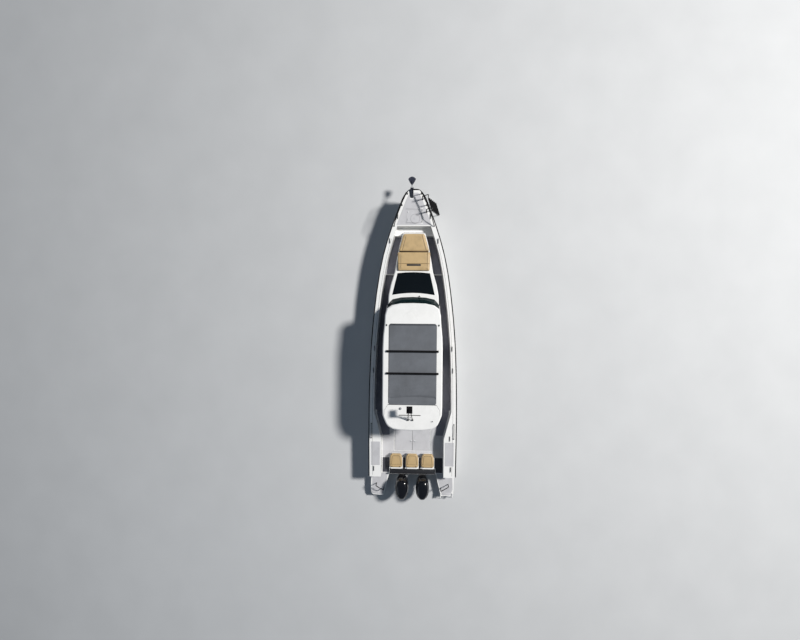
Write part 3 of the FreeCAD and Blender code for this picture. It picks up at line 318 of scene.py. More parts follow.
WHITE = (0.80, 0.80, 0.79)
TAN = (0.465, 0.330, 0.165)
GREY = (0.485, 0.485, 0.505)
SIDE_GREY = (0.188, 0.188, 0.226)
MAT = {
    "gelcoat_hull": hull_paint("hull_gelcoat", WHITE, (0.03, 0.035, 0.05)),
    "gelcoat_deck": gelcoat("deck_gelcoat", WHITE),
    "rub_strip": coated("rub_rubber", (0.008, 0.008, 0.009), (0.55, 0.75), 0, 1.22),
    "non_slip": non_slip("deck_grip", GREY, SIDE_GREY),
    "dark_glass": glass("smoked_glass", (0.004, 0.006, 0.008), 0.1),
    "clear_glass": glass("screen_glass", (0.009, 0.024, 0.027), 0.3, 1.10),
    "canvas": canvas("roof_cloth", (0.116, 0.125, 0.141)),
    "black_metal": coated("black_rail", (0.005, 0.005, 0.006), (0.4, 0.6), 0, 1.22),
    "steel": metal("bright_steel", (0.55, 0.56, 0.58)),
    "anchor_metal": coated("anchor_paint", (0.018, 0.022, 0.04)),
    "cushion_tan": vinyl("tan_vinyl", TAN),
    "console_grey": coated("console_plastic", (0.045, 0.048, 0.055), (0.5, 0.7), 0),
    "wheel_black": vinyl("wheel_wrap", (0.014, 0.014, 0.015)),
    "lever_dark": coated("lever_plastic", (0.02, 0.02, 0.022)),
    "berth_fabric": canvas("berth_cloth", (0.36, 0.32, 0.26)),
    "door_panel": gelcoat("door_gelcoat", shade(WHITE, 0.95)),
    "motor_black": coated("motor_gloss", (0.004, 0.004, 0.006), (0.12, 0.28), 0.4),
    "motor_dark": coated("motor_satin", (0.015, 0.015, 0.017), (0.3, 0.5), 0.1),
    "prop_metal": metal("prop_metal", (0.22, 0.23, 0.24), (0.3, 0.5)),
}
PIPING = coated("piping_cord", (0.02, 0.018, 0.016), (0.5, 0.7), 0)
WELT = coated("brown_welt", (0.075, 0.045, 0.018), (0.6, 0.8), 0)
SEAM = coated("roof_joint", (0.20, 0.20, 0.21), (0.6, 0.8), 0)
DARK_GRIP = non_slip("dark_grip", (0.045, 0.047, 0.060))
BLACK_GRIP = non_slip("black_grip", (0.008, 0.009, 0.013))
DARK_STEEL = metal("roller_metal", (0.085, 0.09, 0.105))
HEM = canvas("hem_cloth", (0.045, 0.050, 0.060))
SCREEN = coated("dark_screen", (0.006, 0.009, 0.014), (0.04, 0.1), 0.7)
PLASTIC = coated("grey_plastic", (0.25, 0.26, 0.28), (0.4, 0.6), 0)
FLOOR = Paint("pale_floor", rough=0.8)
FLOOR.colour(FLOOR.noise(0.6, 4), [(0.2, (0.50, 0.51, 0.52)), (0.8, (0.54, 0.55, 0.56))])
floor_mesh.materials.append(FLOOR.made)

SLOTS = {entry["node"]: entry["material_slot"] for entry in frame["record"]["subparts"]}
for name, obj in NODES.items():
    made = DARK_STEEL if name == "bow_roller" else MAT[SLOTS[name]]
    if not obj.material_slots:
        obj.data.materials.append(made)
    for place in obj.material_slots:
        place.material = made

# Bevelled edges on the moulded pieces

for node, width in (("coachroof", 0.014), ("wheelhouse_sides", 0.006), ("roof", 0.003),
                    ("helm_console", 0.012), ("helm_seats", 0.010), ("sofa_base", 0.012),
                    ("aft_seat_shells", 0.012), ("swim_platforms", 0.012), ("cabin_door", 0.005),
                    ("roof_rack", 0.006), ("light_mast", 0.004), ("clamp_brackets", 0.004),
                    ("swivel_bracket_port", 0.005), ("swivel_bracket_starboard", 0.005),
                    ("deck_panels", 0.0015), ("anchor", 0.004), ("bow_roller", 0.002)):
    modifier = NODES[node].modifiers.new("edge", "BEVEL")
    modifier.width = width
    modifier.segments = 3
    modifier.limit_method = "ANGLE"
    modifier.angle_limit = math.radians(35)


# Mesh builders


def mesh_piece(name, points, faces, material, body):
    mesh = bpy.data.meshes.new(name)
    mesh.from_pydata([tuple(point) for point in points], [], faces)
    mesh.validate()
    work = bmesh.new()
    work.from_mesh(mesh)
    bmesh.ops.recalc_face_normals(work, faces=work.faces)
    work.to_mesh(mesh)
    work.free()
    for face in mesh.polygons:
        face.use_smooth = True
    mesh.materials.append(material)
    obj = linked(bpy.data.objects.new(name, mesh))
    if body:
        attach(obj, body)
    return obj


def rings(name, loops, material, body, levels=2, caps=True):
    """A skin through closed loops of one vertex count, subdivided."""
    count = len(loops[0])
    points = [point for loop in loops for point in loop]
    faces = []
    for i in range(len(loops) - 1):
        for k in range(count):
            n = (k + 1) % count
            faces.append((i * count + k, i * count + n, (i + 1) * count + n, (i + 1) * count + k))
    if caps:
        faces.append(tuple(reversed(range(count))))
        faces.append(tuple((len(loops) - 1) * count + k for k in range(count)))
    obj = mesh_piece(name, points, faces, material, body)
    if levels:
        modifier = obj.modifiers.new("soft", "SUBSURF")
        modifier.levels = levels
        modifier.render_levels = levels
    return obj


def cord_line(name, points, radius, material, body, closed=False, smooth=True):
    """A round line through points, for piping, trim and thin rods."""
    data = bpy.data.curves.new(name, "CURVE")
    data.dimensions = "3D"
    data.bevel_depth = radius
    data.bevel_resolution = 3
    data.resolution_u = 6
    spline = data.splines.new("NURBS" if smooth else "POLY")
    spline.points.add(len(points) - 1)
    for point, at in zip(spline.points, points):
        point.co = (*at, 1)
    if smooth:
        spline.order_u = 3
        spline.use_endpoint_u = not closed
    spline.use_cyclic_u = closed
    data.use_fill_caps = True
    data.materials.append(material)
    obj = linked(bpy.data.objects.new(name, data))
    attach(obj, body)


def rounded(outline, radius):
    """A closed outline in plan with its corners rounded."""
    steps = 4
    result = []
    count = len(outline)
    for i in range(count):
        here = Vector(outline[i])
        before = Vector(outline[i - 1])
        after = Vector(outline[(i + 1) % count])
        a = (before - here)
        b = (after - here)
        reach = min(radius, a.length * 0.45, b.length * 0.45)
        first = here + a.normalized() * reach
        last = here + b.normalized() * reach
        for k in range(steps + 1):
            t = k / steps
            result.append(((1 - t) ** 2 * first + 2 * t * (1 - t) * here + t * t * last)[:])
    return result


def inset(outline, distance):
    """The outline moved inwards, for convex outlines given anticlockwise."""
    count = len(outline)
    result = []
    for i in range(count):
        here = Vector(outline[i])
        before = (here - Vector(outline[i - 1])).normalized()
        after = (Vector(outline[(i + 1) % count]) - here).normalized()
        normal = Vector((-(before.y + after.y), before.x + after.x)).normalized()
        spread = max(0.5, normal.dot(Vector((-before.y, before.x))))
        result.append((here + normal * distance / spread)[:])
    return result


def anticlockwise(outline):
    area = sum(a[0] * b[1] - b[0] * a[1] for a, b in zip(outline, outline[1:] + outline[:1]))
    return outline if area > 0 else outline[::-1]


def oblong(x1, x2, y1, y2):
    return [(x1, y1), (x2, y1), (x2, y2), (x1, y2)]


def circle(x, y, radius, count=16):
    step = 2 * math.pi / count
    return [(x + radius * math.cos(i * step), y + radius * math.sin(i * step)) for i in range(count)]


def stacked(outline, *levels):
    """Loops of one outline at rising heights, each a height and how far its outline is moved inwards."""
    return [[(x, y, z) for x, y in (inset(outline, tuck) if tuck else outline)] for z, tuck in levels]


def cushion_block(outline, low, high, soft):
    """A pad's starting form: its outline stacked, tucked in at the seams of both faces."""
    outline = anticlockwise(outline)
    tall = high - low
    loops = stacked(outline, *[(low + tall * share, soft * tuck) for share, tuck in
                               ((0, 0.5), (0.06, 0.12), (0.3, 0), (0.7, 0), (0.92, 0.3), (1, 0.9))])
    count = len(outline)
    points = [point for loop in loops for point in loop]
    faces = [(i * count + k, i * count + (k + 1) % count, (i + 1) * count + (k + 1) % count,
              (i + 1) * count + k) for i in range(len(loops) - 1) for k in range(count)]
    faces.append(tuple(reversed(range(count))))
    faces.append(tuple((len(loops) - 1) * count + k for k in range(count)))
    return points, faces


PRESSURE, FRAMES, HELD = 4.0, 20, 0.012


def swell(obj, voxel, cap, base):
    """Remeshes a pad and blows it up with cloth. Its flat base is held, and no point moves beyond the cap."""
    bpy.context.view_layer.objects.active = obj
    for other in bpy.context.selected_objects:
        other.select_set(False)
    obj.select_set(True)
    obj.data.remesh_voxel_size = voxel
    bpy.ops.object.voxel_remesh()
    start = [vertex.co.copy() for vertex in obj.data.vertices]
    held = obj.vertex_groups.new(name="held")
    held.add([i for i, at in enumerate(start) if at.z < base + HELD], 1.0, "REPLACE")
    cloth = obj.modifiers.new("cloth", "CLOTH")
    cloth.settings.use_pressure = True
    cloth.settings.uniform_pressure_force = PRESSURE
    cloth.settings.vertex_group_mass = "held"
    cloth.settings.effector_weights.gravity = 0
    cloth.settings.quality = 4
    cloth.point_cache.frame_end = FRAMES
    scene = bpy.context.scene
    for number in range(1, FRAMES + 1):
        scene.frame_set(number)
    ready = obj.evaluated_get(bpy.context.evaluated_depsgraph_get())
    moved = [vertex.co.copy() for vertex in ready.data.vertices]
    obj.modifiers.remove(cloth)
    scene.frame_set(1)
    for vertex, old, new in zip(obj.data.vertices, start, moved):
        step = new - old
        if step.length > cap:
            step = step.normalized() * cap
        vertex.co = old + step
    for face in obj.data.polygons:
        face.use_smooth = True


def groove(obj, lines, depth, width, low):
    """Presses sewn seams into the faces of a pad above a height, along lines of two points."""
    for vertex in obj.data.vertices:
        at = vertex.co
        if at.z < low:
            continue
        best = 1e9
        for first, last in lines:
            a = Vector(first)
            b = Vector(last)
            span = b - a
            share = max(0, min(1, (at.xy - a).dot(span) / span.length_squared))
            best = min(best, (at.xy - a - span * share).length)
        at.z -= depth * math.exp(-(best / width) ** 2)


def divided(obj):
    """Halves a pad's faces smoothly, so that narrow ribs and seams keep their form."""
    modifier = obj.modifiers.new("finer", "SUBSURF")
    modifier.levels = 1
    ready = obj.evaluated_get(bpy.context.evaluated_depsgraph_get())
    obj.data = bpy.data.meshes.new_from_object(ready)
    obj.modifiers.remove(modifier)


def ribbed(obj, pitch, depth, low, middle, half):
    """Sewn ribs across the top above a height, one every pitch along X, half as far to each side of the middle."""
    for vertex in obj.data.vertices:
        at = vertex.co
        if at.z > low and abs(at.y - middle) < half:
            at.z -= depth * abs(math.cos(math.pi * at.x / pitch)) ** 6


def laid(obj, corners, lift, step=0.04):
    """Points along straight runs, laid on the top of a mesh."""
    tree = BVHTree.FromPolygons([vertex.co for vertex in obj.data.vertices],
                                [tuple(face.vertices) for face in obj.data.polygons])
    result = []
    for (x1, y1), (x2, y2) in zip(corners, corners[1:]):
        parts = max(1, round(math.hypot(x2 - x1, y2 - y1) / step))
        for i in range(parts + (1 if (x2, y2) == corners[-1] else 0)):
            x = x1 + (x2 - x1) * i / parts
            y = y1 + (y2 - y1) * i / parts
            hit = tree.ray_cast(Vector((x, y, 4)), Vector((0, 0, -1)))[0]
            if hit:
                result.append((x, y, hit.z + lift))
    return result


SEAM_WIDTH = 0.012


def soft_pad(name, outline, low, high, node, body, voxel, cap, soft=0.03, seams=(), material=None,
             depth=0.01, ribs=None):
    """A swelled cushion with its seams and ribs, in place of a node."""
    points, faces = cushion_block(outline, low, high, soft)
    obj = mesh_piece(name, points, faces, material or MAT["cushion_tan"], None)
    swell(obj, voxel, cap, low)
    divided(obj)
    middle = low + (high - low) * 0.5
    if seams:
        groove(obj, seams, depth, SEAM_WIDTH, middle)
    if ribs:
        ribbed(obj, *ribs)
    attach(obj, body)
    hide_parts(node)
    return obj


def mirror(half):
    return list(half) + [(x, -y) for x, y in reversed(half) if y != 0]


# Sunpad on the coachroof, in two cushions, with a hand slot near its aft end

PAD_LOW, PAD_HIGH, PAD_RIBS_FROM = 1.1505, 1.260, 1.23
PAD_FORE = [(9.238, 0.0), (9.234, 0.370), (9.165, 0.422), (8.562, 0.584), (8.562, 0.0)]
PAD_AFT = [(8.545, 0.0), (8.545, 0.620), (8.2, 0.616), (7.875, 0.600), (7.835, 0.580), (7.835, 0.0)]
PAD_RIB, PAD_RIB_DEEP = 0.046, 0.0030


def welt(name, obj, corners, radius=0.0065):
    cord_line(name, laid(obj, corners, 0.001), radius, WELT, "boat")


fore_lines = [[(8.57, side * 0.452), (9.17, side * 0.300)] for side in (1, -1)]
fore_pad = soft_pad("sunpad_fore", rounded(mirror(PAD_FORE), 0.05), PAD_LOW, PAD_HIGH, "sunpad", "boat", 0.014,
                    0.012, seams=fore_lines, ribs=(PAD_RIB, PAD_RIB_DEEP, PAD_RIBS_FROM, 0, 0.56))
aft_lines = [[(7.90, side * 0.495), (8.535, side * 0.495)] for side in (1, -1)] + [[(8.10, -0.59), (8.10, 0.59)]]
aft_pad = soft_pad("sunpad_aft", rounded(mirror(PAD_AFT), 0.05), PAD_LOW, PAD_HIGH, "sunpad", "boat", 0.014,
                   0.012, seams=aft_lines, ribs=(PAD_RIB, PAD_RIB_DEEP, PAD_RIBS_FROM, 0, 0.58))
for part, pad, lines in (("fore", fore_pad, fore_lines), ("aft", aft_pad, aft_lines)):
    for i, line in enumerate(lines):
        welt("sunpad_%s_welt_%d" % (part, i), pad, line)
joint = oblong(8.540, 8.567, -0.545, 0.545)
rings("sunpad_joint", stacked(joint, (PAD_LOW + 0.002, 0), (PAD_HIGH - 0.012, 0)), WELT, "boat", levels=0)
slot = rounded(oblong(8.012, 8.086, -0.268, 0.268), 0.036)
rings("sunpad_slot", stacked(slot, (1.23, 0), (1.2725, 0), (1.2735, 0.004)), PIPING, "boat", levels=0)

# Aft bucket seats

SEAT_LOW, SEAT_HIGH = 0.6705, 0.764
for i, y in enumerate((0.63, 0.013, -0.585)):
    half = [(0.286, -0.205), (0.335, -0.247), (0.56, -0.252), (0.745, -0.226), (0.825, -0.165)]
    outline = rounded([(x, y + b) for x, b in half + [(x, -b) for x, b in reversed(half)]], 0.03)
    u_line = [(0.405, y - 0.175), (0.715, y - 0.145), (0.745, y - 0.11), (0.745, y + 0.11), (0.715, y + 0.145),
              (0.405, y + 0.175)]
    cross = [(0.405, y - 0.215), (0.405, y + 0.215)]
    pad = soft_pad("aft_cushion_%d" % i, outline, SEAT_LOW, SEAT_HIGH, "aft_seat_cushions", "boat", 0.011, 0.010,
                   soft=0.025, seams=list(zip(u_line, u_line[1:])) + [cross], depth=0.008,
                   ribs=(0.05, 0.0025, 0.74, y, 0.14))
    welt("aft_piping_%d" % i, pad, u_line, 0.0055)
    welt("aft_seam_%d" % i, pad, cross, 0.004)
    for k, across in enumerate((-0.15, 0.15)):
        spot = (0.335, y + across)
        top = laid(pad, [spot, spot], 0)[0][2]
        rings("aft_stud_%d_%d" % (i, k), stacked(circle(*spot, 0.017), (top - 0.004, 0), (top + 0.004, 0),
                                                 (top + 0.006, 0.005)), WELT, "boat", levels=0)

# Helm seats, sofa and berth

for side, y in (("port", 0.48), ("starboard", -0.48)):
    soft_pad("helm_pad_" + side, rounded(oblong(4.995, 5.475, y - 0.235, y + 0.235), 0.06), 0.9545, 1.05,
             "helm_seat_cushions", "boat", 0.014, 0.010, seams=[((5.15, y - 0.24), (5.15, y + 0.24))])
    soft_pad("helm_rest_" + side, rounded(oblong(4.992, 5.062, y - 0.23, y + 0.23), 0.03), 1.062, 1.455,
             "helm_seat_cushions", "boat", 0.014, 0.008, soft=0.02)
for i in range(3):
    x = 2.575 + i * 0.505
    soft_pad("sofa_pad_%d" % i, rounded(oblong(x, x + 0.5, 0.445, 0.925), 0.04), 0.8045, 0.91, "sofa_cushions",
             "boat", 0.015, 0.010)
    soft_pad("sofa_back_%d" % i, rounded(oblong(x, x + 0.5, 0.835, 0.925), 0.03), 0.915, 1.14, "sofa_cushions",
             "boat", 0.015, 0.008, soft=0.02)
BERTH = [(7.63, 0.54), (7.63, -0.54), (8.30, -0.48), (9.05, -0.335), (9.05, 0.335), (8.30, 0.48)]
soft_pad("berth_mattress", rounded(BERTH, 0.05), 0.4205, 0.552, "cabin_berth", "boat", 0.022, 0.010,
         material=MAT["berth_fabric"])

# Canvas sunroof: crowned, slack between its battens, with one deep crease near its after end

CLOTH_AFT, CLOTH_FORE, CLOTH_HALF = 2.995, 5.785, 0.842
CLOTH_TOP, BATTENS = 2.508, 0.70
CREASE_X, CREASE_WIDE, CREASE_DEEP = 3.21, 0.045, 0.036
ACROSS, ALONG = 56, 168
points = []
for i in range(ALONG + 1):
    x = CLOTH_AFT + (CLOTH_FORE - CLOTH_AFT) * i / ALONG
    for k in range(ACROSS + 1):
        y = -CLOTH_HALF + 2 * CLOTH_HALF * k / ACROSS
        batten = math.cos(2 * math.pi * (x - CLOTH_FORE) / BATTENS)
        slack = 0.004 * batten * (1 - (y / CLOTH_HALF) ** 2)
        crease = x - CREASE_X - 0.05 * math.cos(1.9 * y) + 0.02 * y
        fold = 0.003 * math.exp(-(x - CLOTH_AFT) / 0.5) * math.sin(46 * x + 3.0 * math.sin(3.1 * y))
        fold -= CREASE_DEEP * math.exp(-(crease / CREASE_WIDE) ** 2)
        fold += 0.006 * math.exp(-((crease + 0.09) / 0.05) ** 2)
        ripple = 0.0022 * math.sin(9 * x + 5 * y) * math.sin(7 * y - 4 * x)
        edge = min(1, (CLOTH_HALF - abs(y)) / 0.05)
        crown = 0.014 * (1 - (y / CLOTH_HALF) ** 2)
        corner = max(0, abs(y) - (CLOTH_HALF - 0.06)) if x < CLOTH_AFT + 0.06 else 0
        points.append((x + corner * 0.6, y, CLOTH_TOP + crown + (slack + fold + ripple) * edge))
faces = []
for i in range(ALONG):
    for k in range(ACROSS):
        a = i * (ACROSS + 1) + k
        faces.append((a, a + 1, a + ACROSS + 2, a + ACROSS + 1))
cloth = mesh_piece("roof_cloth", points, faces, MAT["canvas"], "boat")
thick = cloth.modifiers.new("thick", "SOLIDIFY")
thick.thickness = 0.003
thick.offset = 1
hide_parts("roof_canvas")
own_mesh(cloth)

tail = anticlockwise(mirror([(3.008, 0.848), (2.984, 0.866)]))
rings("canvas_tail", stacked(tail, (2.5202, 0), (2.5235, 0), (2.5250, 0.003)), HEM, "boat", levels=0)
hem = anticlockwise(mirror([(5.780, 0.838), (5.792, 0.838), (5.842, 0.785)]))
rings("canvas_hem", stacked(hem, (2.496, 0.003), (2.499, 0), (2.509, 0), (2.513, 0.004)), HEM, "canopy", levels=0)

# Outboard cowls. COWL: share of the height, front and rear X, share of the half breadth. PLAN: share of the
# length from the front, share of the half breadth.

COWL = [(0.0, -0.012, -0.802, 0.86), (0.03, -0.006, -0.826, 0.93), (0.12, -0.002, -0.843, 0.97),
        (0.45, -0.032, -0.858, 1.0), (0.72, -0.068, -0.838, 0.96), (0.88, -0.105, -0.790, 0.86),
        (0.97, -0.16, -0.71, 0.68), (1.0, -0.24, -0.61, 0.42)]
PLAN = [(0, 0), (0, 0.42), (0.03, 0.60), (0.12, 0.80), (0.28, 0.95), (0.50, 1.0), (0.72, 0.87), (0.88, 0.62),
        (0.97, 0.38), (1, 0.20), (1, 0)]
COWL_BASE, COWL_TALL, COWL_HALF = 0.7, 0.55, 0.265
MOTOR_Y = 0.39


def between(table, at):
    """Straight-line values from a table whose first column rises."""
    for low, high in zip(table, table[1:]):
        if at <= high[0]:
            share = (at - low[0]) / (high[0] - low[0]) if high[0] > low[0] else 0
            return [a + (b - a) * share for a, b in zip(low[1:], high[1:])]
    return list(table[-1][1:])


def cowl_loop(y, up, grow=0.0):
    """A level loop round a cowl, moved outwards by grow."""
    front, rear, share = between(COWL, up)
    half = [(front + grow - (front - rear + 2 * grow) * a, (COWL_HALF * share + grow) * b) for a, b in PLAN]
    return [(x, y + b, COWL_BASE + COWL_TALL * up) for x, b in mirror(half)]


def cowl_side(x, up):
    """Half the cowl's breadth at an X and a share of its height."""
    front, rear, share = between(COWL, up)
    return COWL_HALF * share * between(PLAN[1:], (front - x) / (front - rear))[0]


for side, y in (("port", MOTOR_Y), ("starboard", -MOTOR_Y)):
    body = "outboard_" + side
    shell = rings("cowl_shell_" + side, [cowl_loop(y, row[0]) for row in COWL], MAT["motor_black"], body, levels=2)
    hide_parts("outboard_cowl_" + side)
    rings("cowl_band_" + side, [cowl_loop(y, up, 0.004) for up in (0.15, 0.17, 0.19)], MAT["motor_dark"], body,
          levels=1, caps=False)
    for hand, letter in ((1, "a"), (-1, "b")):
        for i in range(4):
            up = 0.60 + i * 0.05
            line = [(x, y + hand * (cowl_side(x, up) - 0.004), COWL_BASE + COWL_TALL * up)
                    for x in (-0.56, -0.62, -0.68, -0.74)]
            cord_line("cowl_vent_%s_%d_%s" % (side, i, letter), line, 0.006, MAT["motor_dark"], body)

# Helm dashboard and screen frame

low = Vector((5.925, -0.68, 1.315))
up = Vector((6.0, -0.68, 1.48)) - low
out = Vector((-up.z, 0, up.x)).normalized() * 0.008
across = Vector((0, 0.085, 0))
corners = [low - across, low + across, low + up + across, low + up - across]
rings("dash_screen", [[tuple(c) for c in corners], [tuple(c + out) for c in corners]], SCREEN, "boat", levels=0)

SILL = [(6.520, 0.946), (6.610, 0.886), (6.735, 0.767), (6.805, 0.45), (6.825, 0)]
for side, hand in (("port", 1), ("starboard", -1)):
    cord_line("screen_post_" + side, [(6.745, hand * 0.60, 1.525), (6.325, hand * 0.585, 2.415)], 0.016,
              MAT["black_metal"], "boat", smooth=False)
cord_line("screen_sill", [(x, y, 1.524) for x, y in mirror(SILL)], 0.012, MAT["rub_strip"], "boat", smooth=False)

# Roof seams and the canvas's front catches

ROOF_TOP = 2.52
for side, hand in (("port", 1), ("starboard", -1)):
    cord_line("roof_joint_" + side, [(2.985, hand * 0.862, ROOF_TOP), (2.80, hand * 0.975, ROOF_TOP),
                                     (2.62, hand * 0.985, ROOF_TOP)], 0.0045, SEAM, "boat", smooth=False)
    catch = anticlockwise(rounded(oblong(5.765, 5.825, hand * 0.90, hand * 0.945), 0.015))
    rings("canvas_catch_" + side, stacked(catch, (ROOF_TOP - 0.001, 0), (ROOF_TOP + 0.02, 0),
                                          (ROOF_TOP + 0.025, 0.006)), MAT["black_metal"], "boat", levels=0)

# Dark grip round the aft seats, on the transom and in the passages

SOLE, SIDE_DECK, TRANSOM_TOP, PLATFORM_TOP = 0.45, 0.65, 0.58, 0.38
GRIP = MAT["non_slip"]


def flat_mat(name, outline, low, high, material, body, rise=lambda x: 0):
    """A thin mat between two heights, raised by what rise gives for each X."""
    loops = stacked(anticlockwise(outline), (low, 0), (high - 0.001, 0), (high, 0.002))
    rings(name, [[(x, y, z + rise(x)) for x, y, z in loop] for loop in loops], material, body, levels=0)


seat_mat = [(0.60, 1.165), (0.03, 1.165), (0.03, 0.905), (0.215, 0.905)]
flat_mat("seat_mat", mirror(seat_mat), SOLE + 0.0005, SOLE + 0.0075, DARK_GRIP, "boat")
flat_mat("seat_apron", mirror([(0.864, 0.90), (0.602, 0.90)]), SOLE + 0.0005, SOLE + 0.0045, GRIP, "boat")
flat_mat("transom_mat", rounded(mirror([(0.207, 0.884), (0.004, 0.884)]), 0.02), TRANSOM_TOP + 0.0005,
         TRANSOM_TOP + 0.004, BLACK_GRIP, "boat")
for side, hand in (("port", 1), ("starboard", -1)):
    gap = [(2.335, hand * 1.005), (2.335, hand * 1.395), (2.462, hand * 1.400), (2.462, hand * 1.045)]
    flat_mat("passage_mat_" + side, gap, SOLE + 0.0005, SOLE + 0.0045, GRIP, "boat")

# Grip out to the platforms' after edges and treads on the swim ladder's rungs

RIM_PORT = [(-0.778, 1.128), (-0.868, 1.140), (-0.850, 1.535), (-0.790, 1.588), (-0.650, 1.602), (-0.642, 1.578),
            (-0.768, 1.522)]
RIM_STARBOARD = [(-0.778, -1.140), (-0.868, -1.150), (-0.850, -1.535), (-0.790, -1.540), (-0.768, -1.518)]
for side, rim in (("port", RIM_PORT), ("starboard", RIM_STARBOARD)):
    flat_mat("platform_mat_" + side, rim, PLATFORM_TOP + 0.0005, PLATFORM_TOP + 0.0050, GRIP, "boat")
RUNG_TOP, RUNG_STEP = 0.152, 0.230
for i in range(4):
    top = RUNG_TOP - RUNG_STEP * i
    flat_mat("swim_tread_%d" % i, oblong(-0.955, -0.905, -1.505, -1.175), top + 0.0005, top + 0.0045, BLACK_GRIP,
             "stern_ladder")

# Rubber guard round the nose and the seam along each bulwark. SHEER: X, half breadth and height of the deck edge.

SHEER = [(0, 1.620, 1.000), (2.5, 1.640, 1.045), (5.0, 1.570, 1.120), (7.0, 1.375, 1.200), (8.4, 1.130, 1.270),
         (9.5, 0.800, 1.330), (10.3, 0.500, 1.365), (10.55, 0.400, 1.372), (10.72, 0.290, 1.377),
         (10.83, 0.190, 1.380)]


def sheer(x):
    """Half breadth and height of the deck edge by a cubic through the hull's stations."""
    i = max(k for k in range(len(SHEER) - 1) if SHEER[k][0] <= x)
    a, b = SHEER[i], SHEER[i + 1]
    before, after = SHEER[max(i - 1, 0)], SHEER[min(i + 2, len(SHEER) - 1)]
    long = b[0] - a[0]
    t = (x - a[0]) / long
    result = []
    for column in (1, 2):
        slope_a = (b[column] - before[column]) / (b[0] - before[0]) * long
        slope_b = (after[column] - a[column]) / (after[0] - a[0]) * long
        result.append((2 * t ** 3 - 3 * t * t + 1) * a[column] + (t ** 3 - 2 * t * t + t) * slope_a
                      + (3 * t * t - 2 * t ** 3) * b[column] + (t ** 3 - t * t) * slope_b)
    return result


GUARD_X = (0.03, 1.2, 2.5, 3.7, 5.0, 6.0, 7.0, 7.7, 8.4, 9.0, 9.5, 9.9, 10.1, 10.3, 10.45, 10.55, 10.64, 10.72,
           10.79)
guard = [(x, sheer(x)[0] + 0.020, sheer(x)[1] - 0.028) for x in GUARD_X]
guard += [(10.845, 0.185, 1.352), (10.866, 0.09, 1.352)]
cord_line("side_guard", guard + [(x, -y, z) for x, y, z in reversed(guard)], 0.024, MAT["rub_strip"], "boat")
SEAM_X = [0.06 + i * 0.23 for i in range(40)]
for side, hand in (("port", 1), ("starboard", -1)):
    line = [(x, hand * (sheer(x)[0] - 0.115)) for x in SEAM_X]
    cord_line("bulwark_seam_" + side, laid(NODES["deck_moulding"], line, 0.0, 0.25), 0.005, SEAM, "boat")

# Grip over the whole width of the side decks

BESIDE_HOUSE = [(2.472, 0.992), (6.530, 0.992), (6.542, 0.960), (6.9, 0.944), (7.3, 0.876), (7.722, 0.762)]
BESIDE_PAD = [(7.758, 0.750), (7.8, 0.739), (8.3, 0.659), (8.8, 0.562), (9.178, 0.460)]
for side, hand in (("port", 1), ("starboard", -1)):
    for part, inner, level in (("walk", BESIDE_HOUSE, SOLE), ("step", BESIDE_PAD, SIDE_DECK)):
        aft, fore = inner[0][0], inner[-1][0]
        outer = [(x, sheer(x)[0] - 0.181) for x in (fore + (aft - fore) * i / 12 for i in range(13))]
        flat_mat("%s_mat_%s" % (part, side), [(x, hand * y) for x, y in inner + outer], level + 0.0045,
                 level + 0.0062, GRIP, "boat")

# Grip sleeves on the bow rails and the ladder's uprights

LADDER_OUT, LADDER_REACH, LADDER_CREST = Vector((0.295, -0.955, 0)), 0.225, 0.54
for i, (x, clear) in enumerate(((10.55, 0.120), (10.08, 0.088))):
    post = Vector((x, -sheer(x)[0] - clear, sheer(x)[1]))
    foot = post - LADDER_OUT * LADDER_REACH
    crest = sheer(foot.x)[1] + LADDER_CREST
    cord_line("ladder_grip_%d" % i, [(foot.x, foot.y, crest - 0.42), (foot.x, foot.y, crest - 0.04)], 0.019,
              MAT["rub_strip"], "boat", smooth=False)
for side, hand in (("port", 1), ("starboard", -1)):
    for part, ends in (("aft", (9.83, 10.24)), ("fore", (10.30, 10.65))):
        line = [(x, hand * (sheer(x)[0] - 0.05), sheer(x)[1] + 0.4) for x in ends]
        cord_line("bow_grip_%s_%s" % (part, side), line, 0.025, MAT["rub_strip"], "boat", smooth=False)

# Anchor locker: its hatch ring, cup, surround and latches

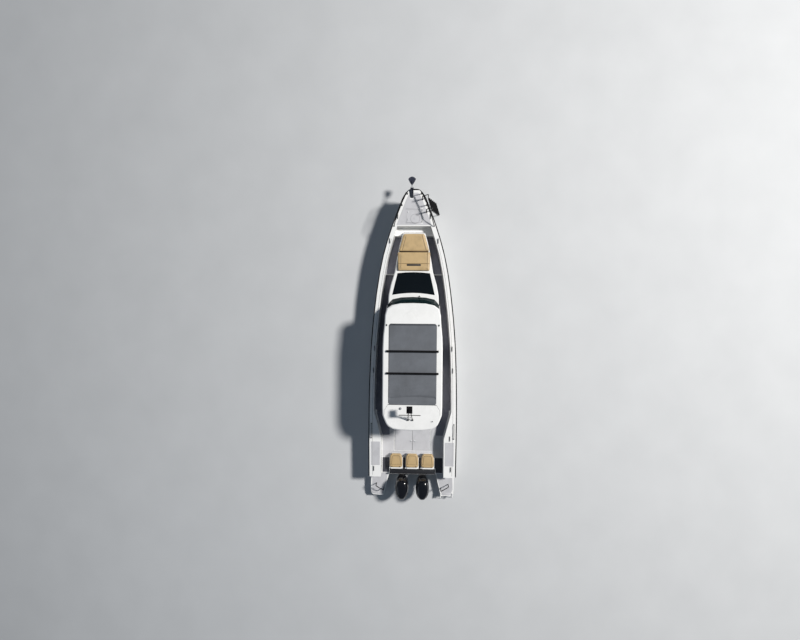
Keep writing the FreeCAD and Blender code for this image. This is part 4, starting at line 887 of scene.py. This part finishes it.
lid_low, lid_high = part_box("anchor_locker_lid")
lid_top = lid_high.z
ring = [(x, y, lid_top + 0.001) for x, y in circle(9.77, -0.04, 0.175, 48)]
cord_line("locker_ring", ring, 0.0045, SEAM, "locker_lid", closed=True)
flat_mat("locker_cup", circle(9.77, -0.02, 0.028), lid_top - 0.001, lid_top + 0.004, MAT["steel"], "locker_lid")
HOLE_AFT, HOLE_FORE, HOLE_PORT, HOLE_STARBOARD, LAP = 9.590, 10.160, 0.320, -0.27, 0.004
past_aft, past_fore, past_port = lid_low.x - LAP, lid_high.x + LAP, lid_high.y + LAP
for end, outline in (("fore", oblong(past_fore, HOLE_FORE + LAP, HOLE_STARBOARD, HOLE_PORT + LAP)),
                     ("aft", oblong(HOLE_AFT - LAP, past_aft, HOLE_STARBOARD, HOLE_PORT + LAP)),
                     ("port", oblong(past_aft, past_fore, past_port, HOLE_PORT + LAP))):
    flat_mat("locker_surround_" + end, outline, 0.0005, 0.0042, GRIP, "boat", lambda x: sheer(x)[1])
for i, x in enumerate((9.74, 10.02)):
    latch = [[(x + a * share, 0.235 + b * share, z) for a, b in oblong(-0.03, 0.03, -0.014, 0.014)]
             for share, z in ((1, lid_top - 0.001), (0.9, lid_top + 0.006))]
    rings("locker_latch_%d" % i, latch, MAT["steel"], "locker_lid", levels=0)

# Lifting rings and the joint of the sole hatches, and the dome on the roof

for side, hand in (("port", 1), ("starboard", -1)):
    for i, x in enumerate((1.25, 1.95)):
        ring = [[(u, v, SOLE + z) for u, v in circle(x, hand * 0.07, radius)]
                for radius, z in ((0.035, 0.002), (0.03, 0.0075))]
        rings("hatch_ring_%s_%d" % (side, i), ring, MAT["steel"], "hatch_" + side, levels=0)
rings("hatch_joint", stacked(oblong(0.90, 2.235, -0.002, 0.012), (SOLE + 0.003, 0), (SOLE + 0.0055, 0)), SEAM,
      "hatch_port", levels=0)
dome = [[(x, y, ROOF_TOP + z) for x, y in circle(2.86, 0.41, radius, 24)]
        for radius, z in ((0.045, -0.001), (0.045, 0.025), (0.038, 0.04), (0.02, 0.048))]
rings("roof_dome", dome, PLASTIC, "boat", levels=1)
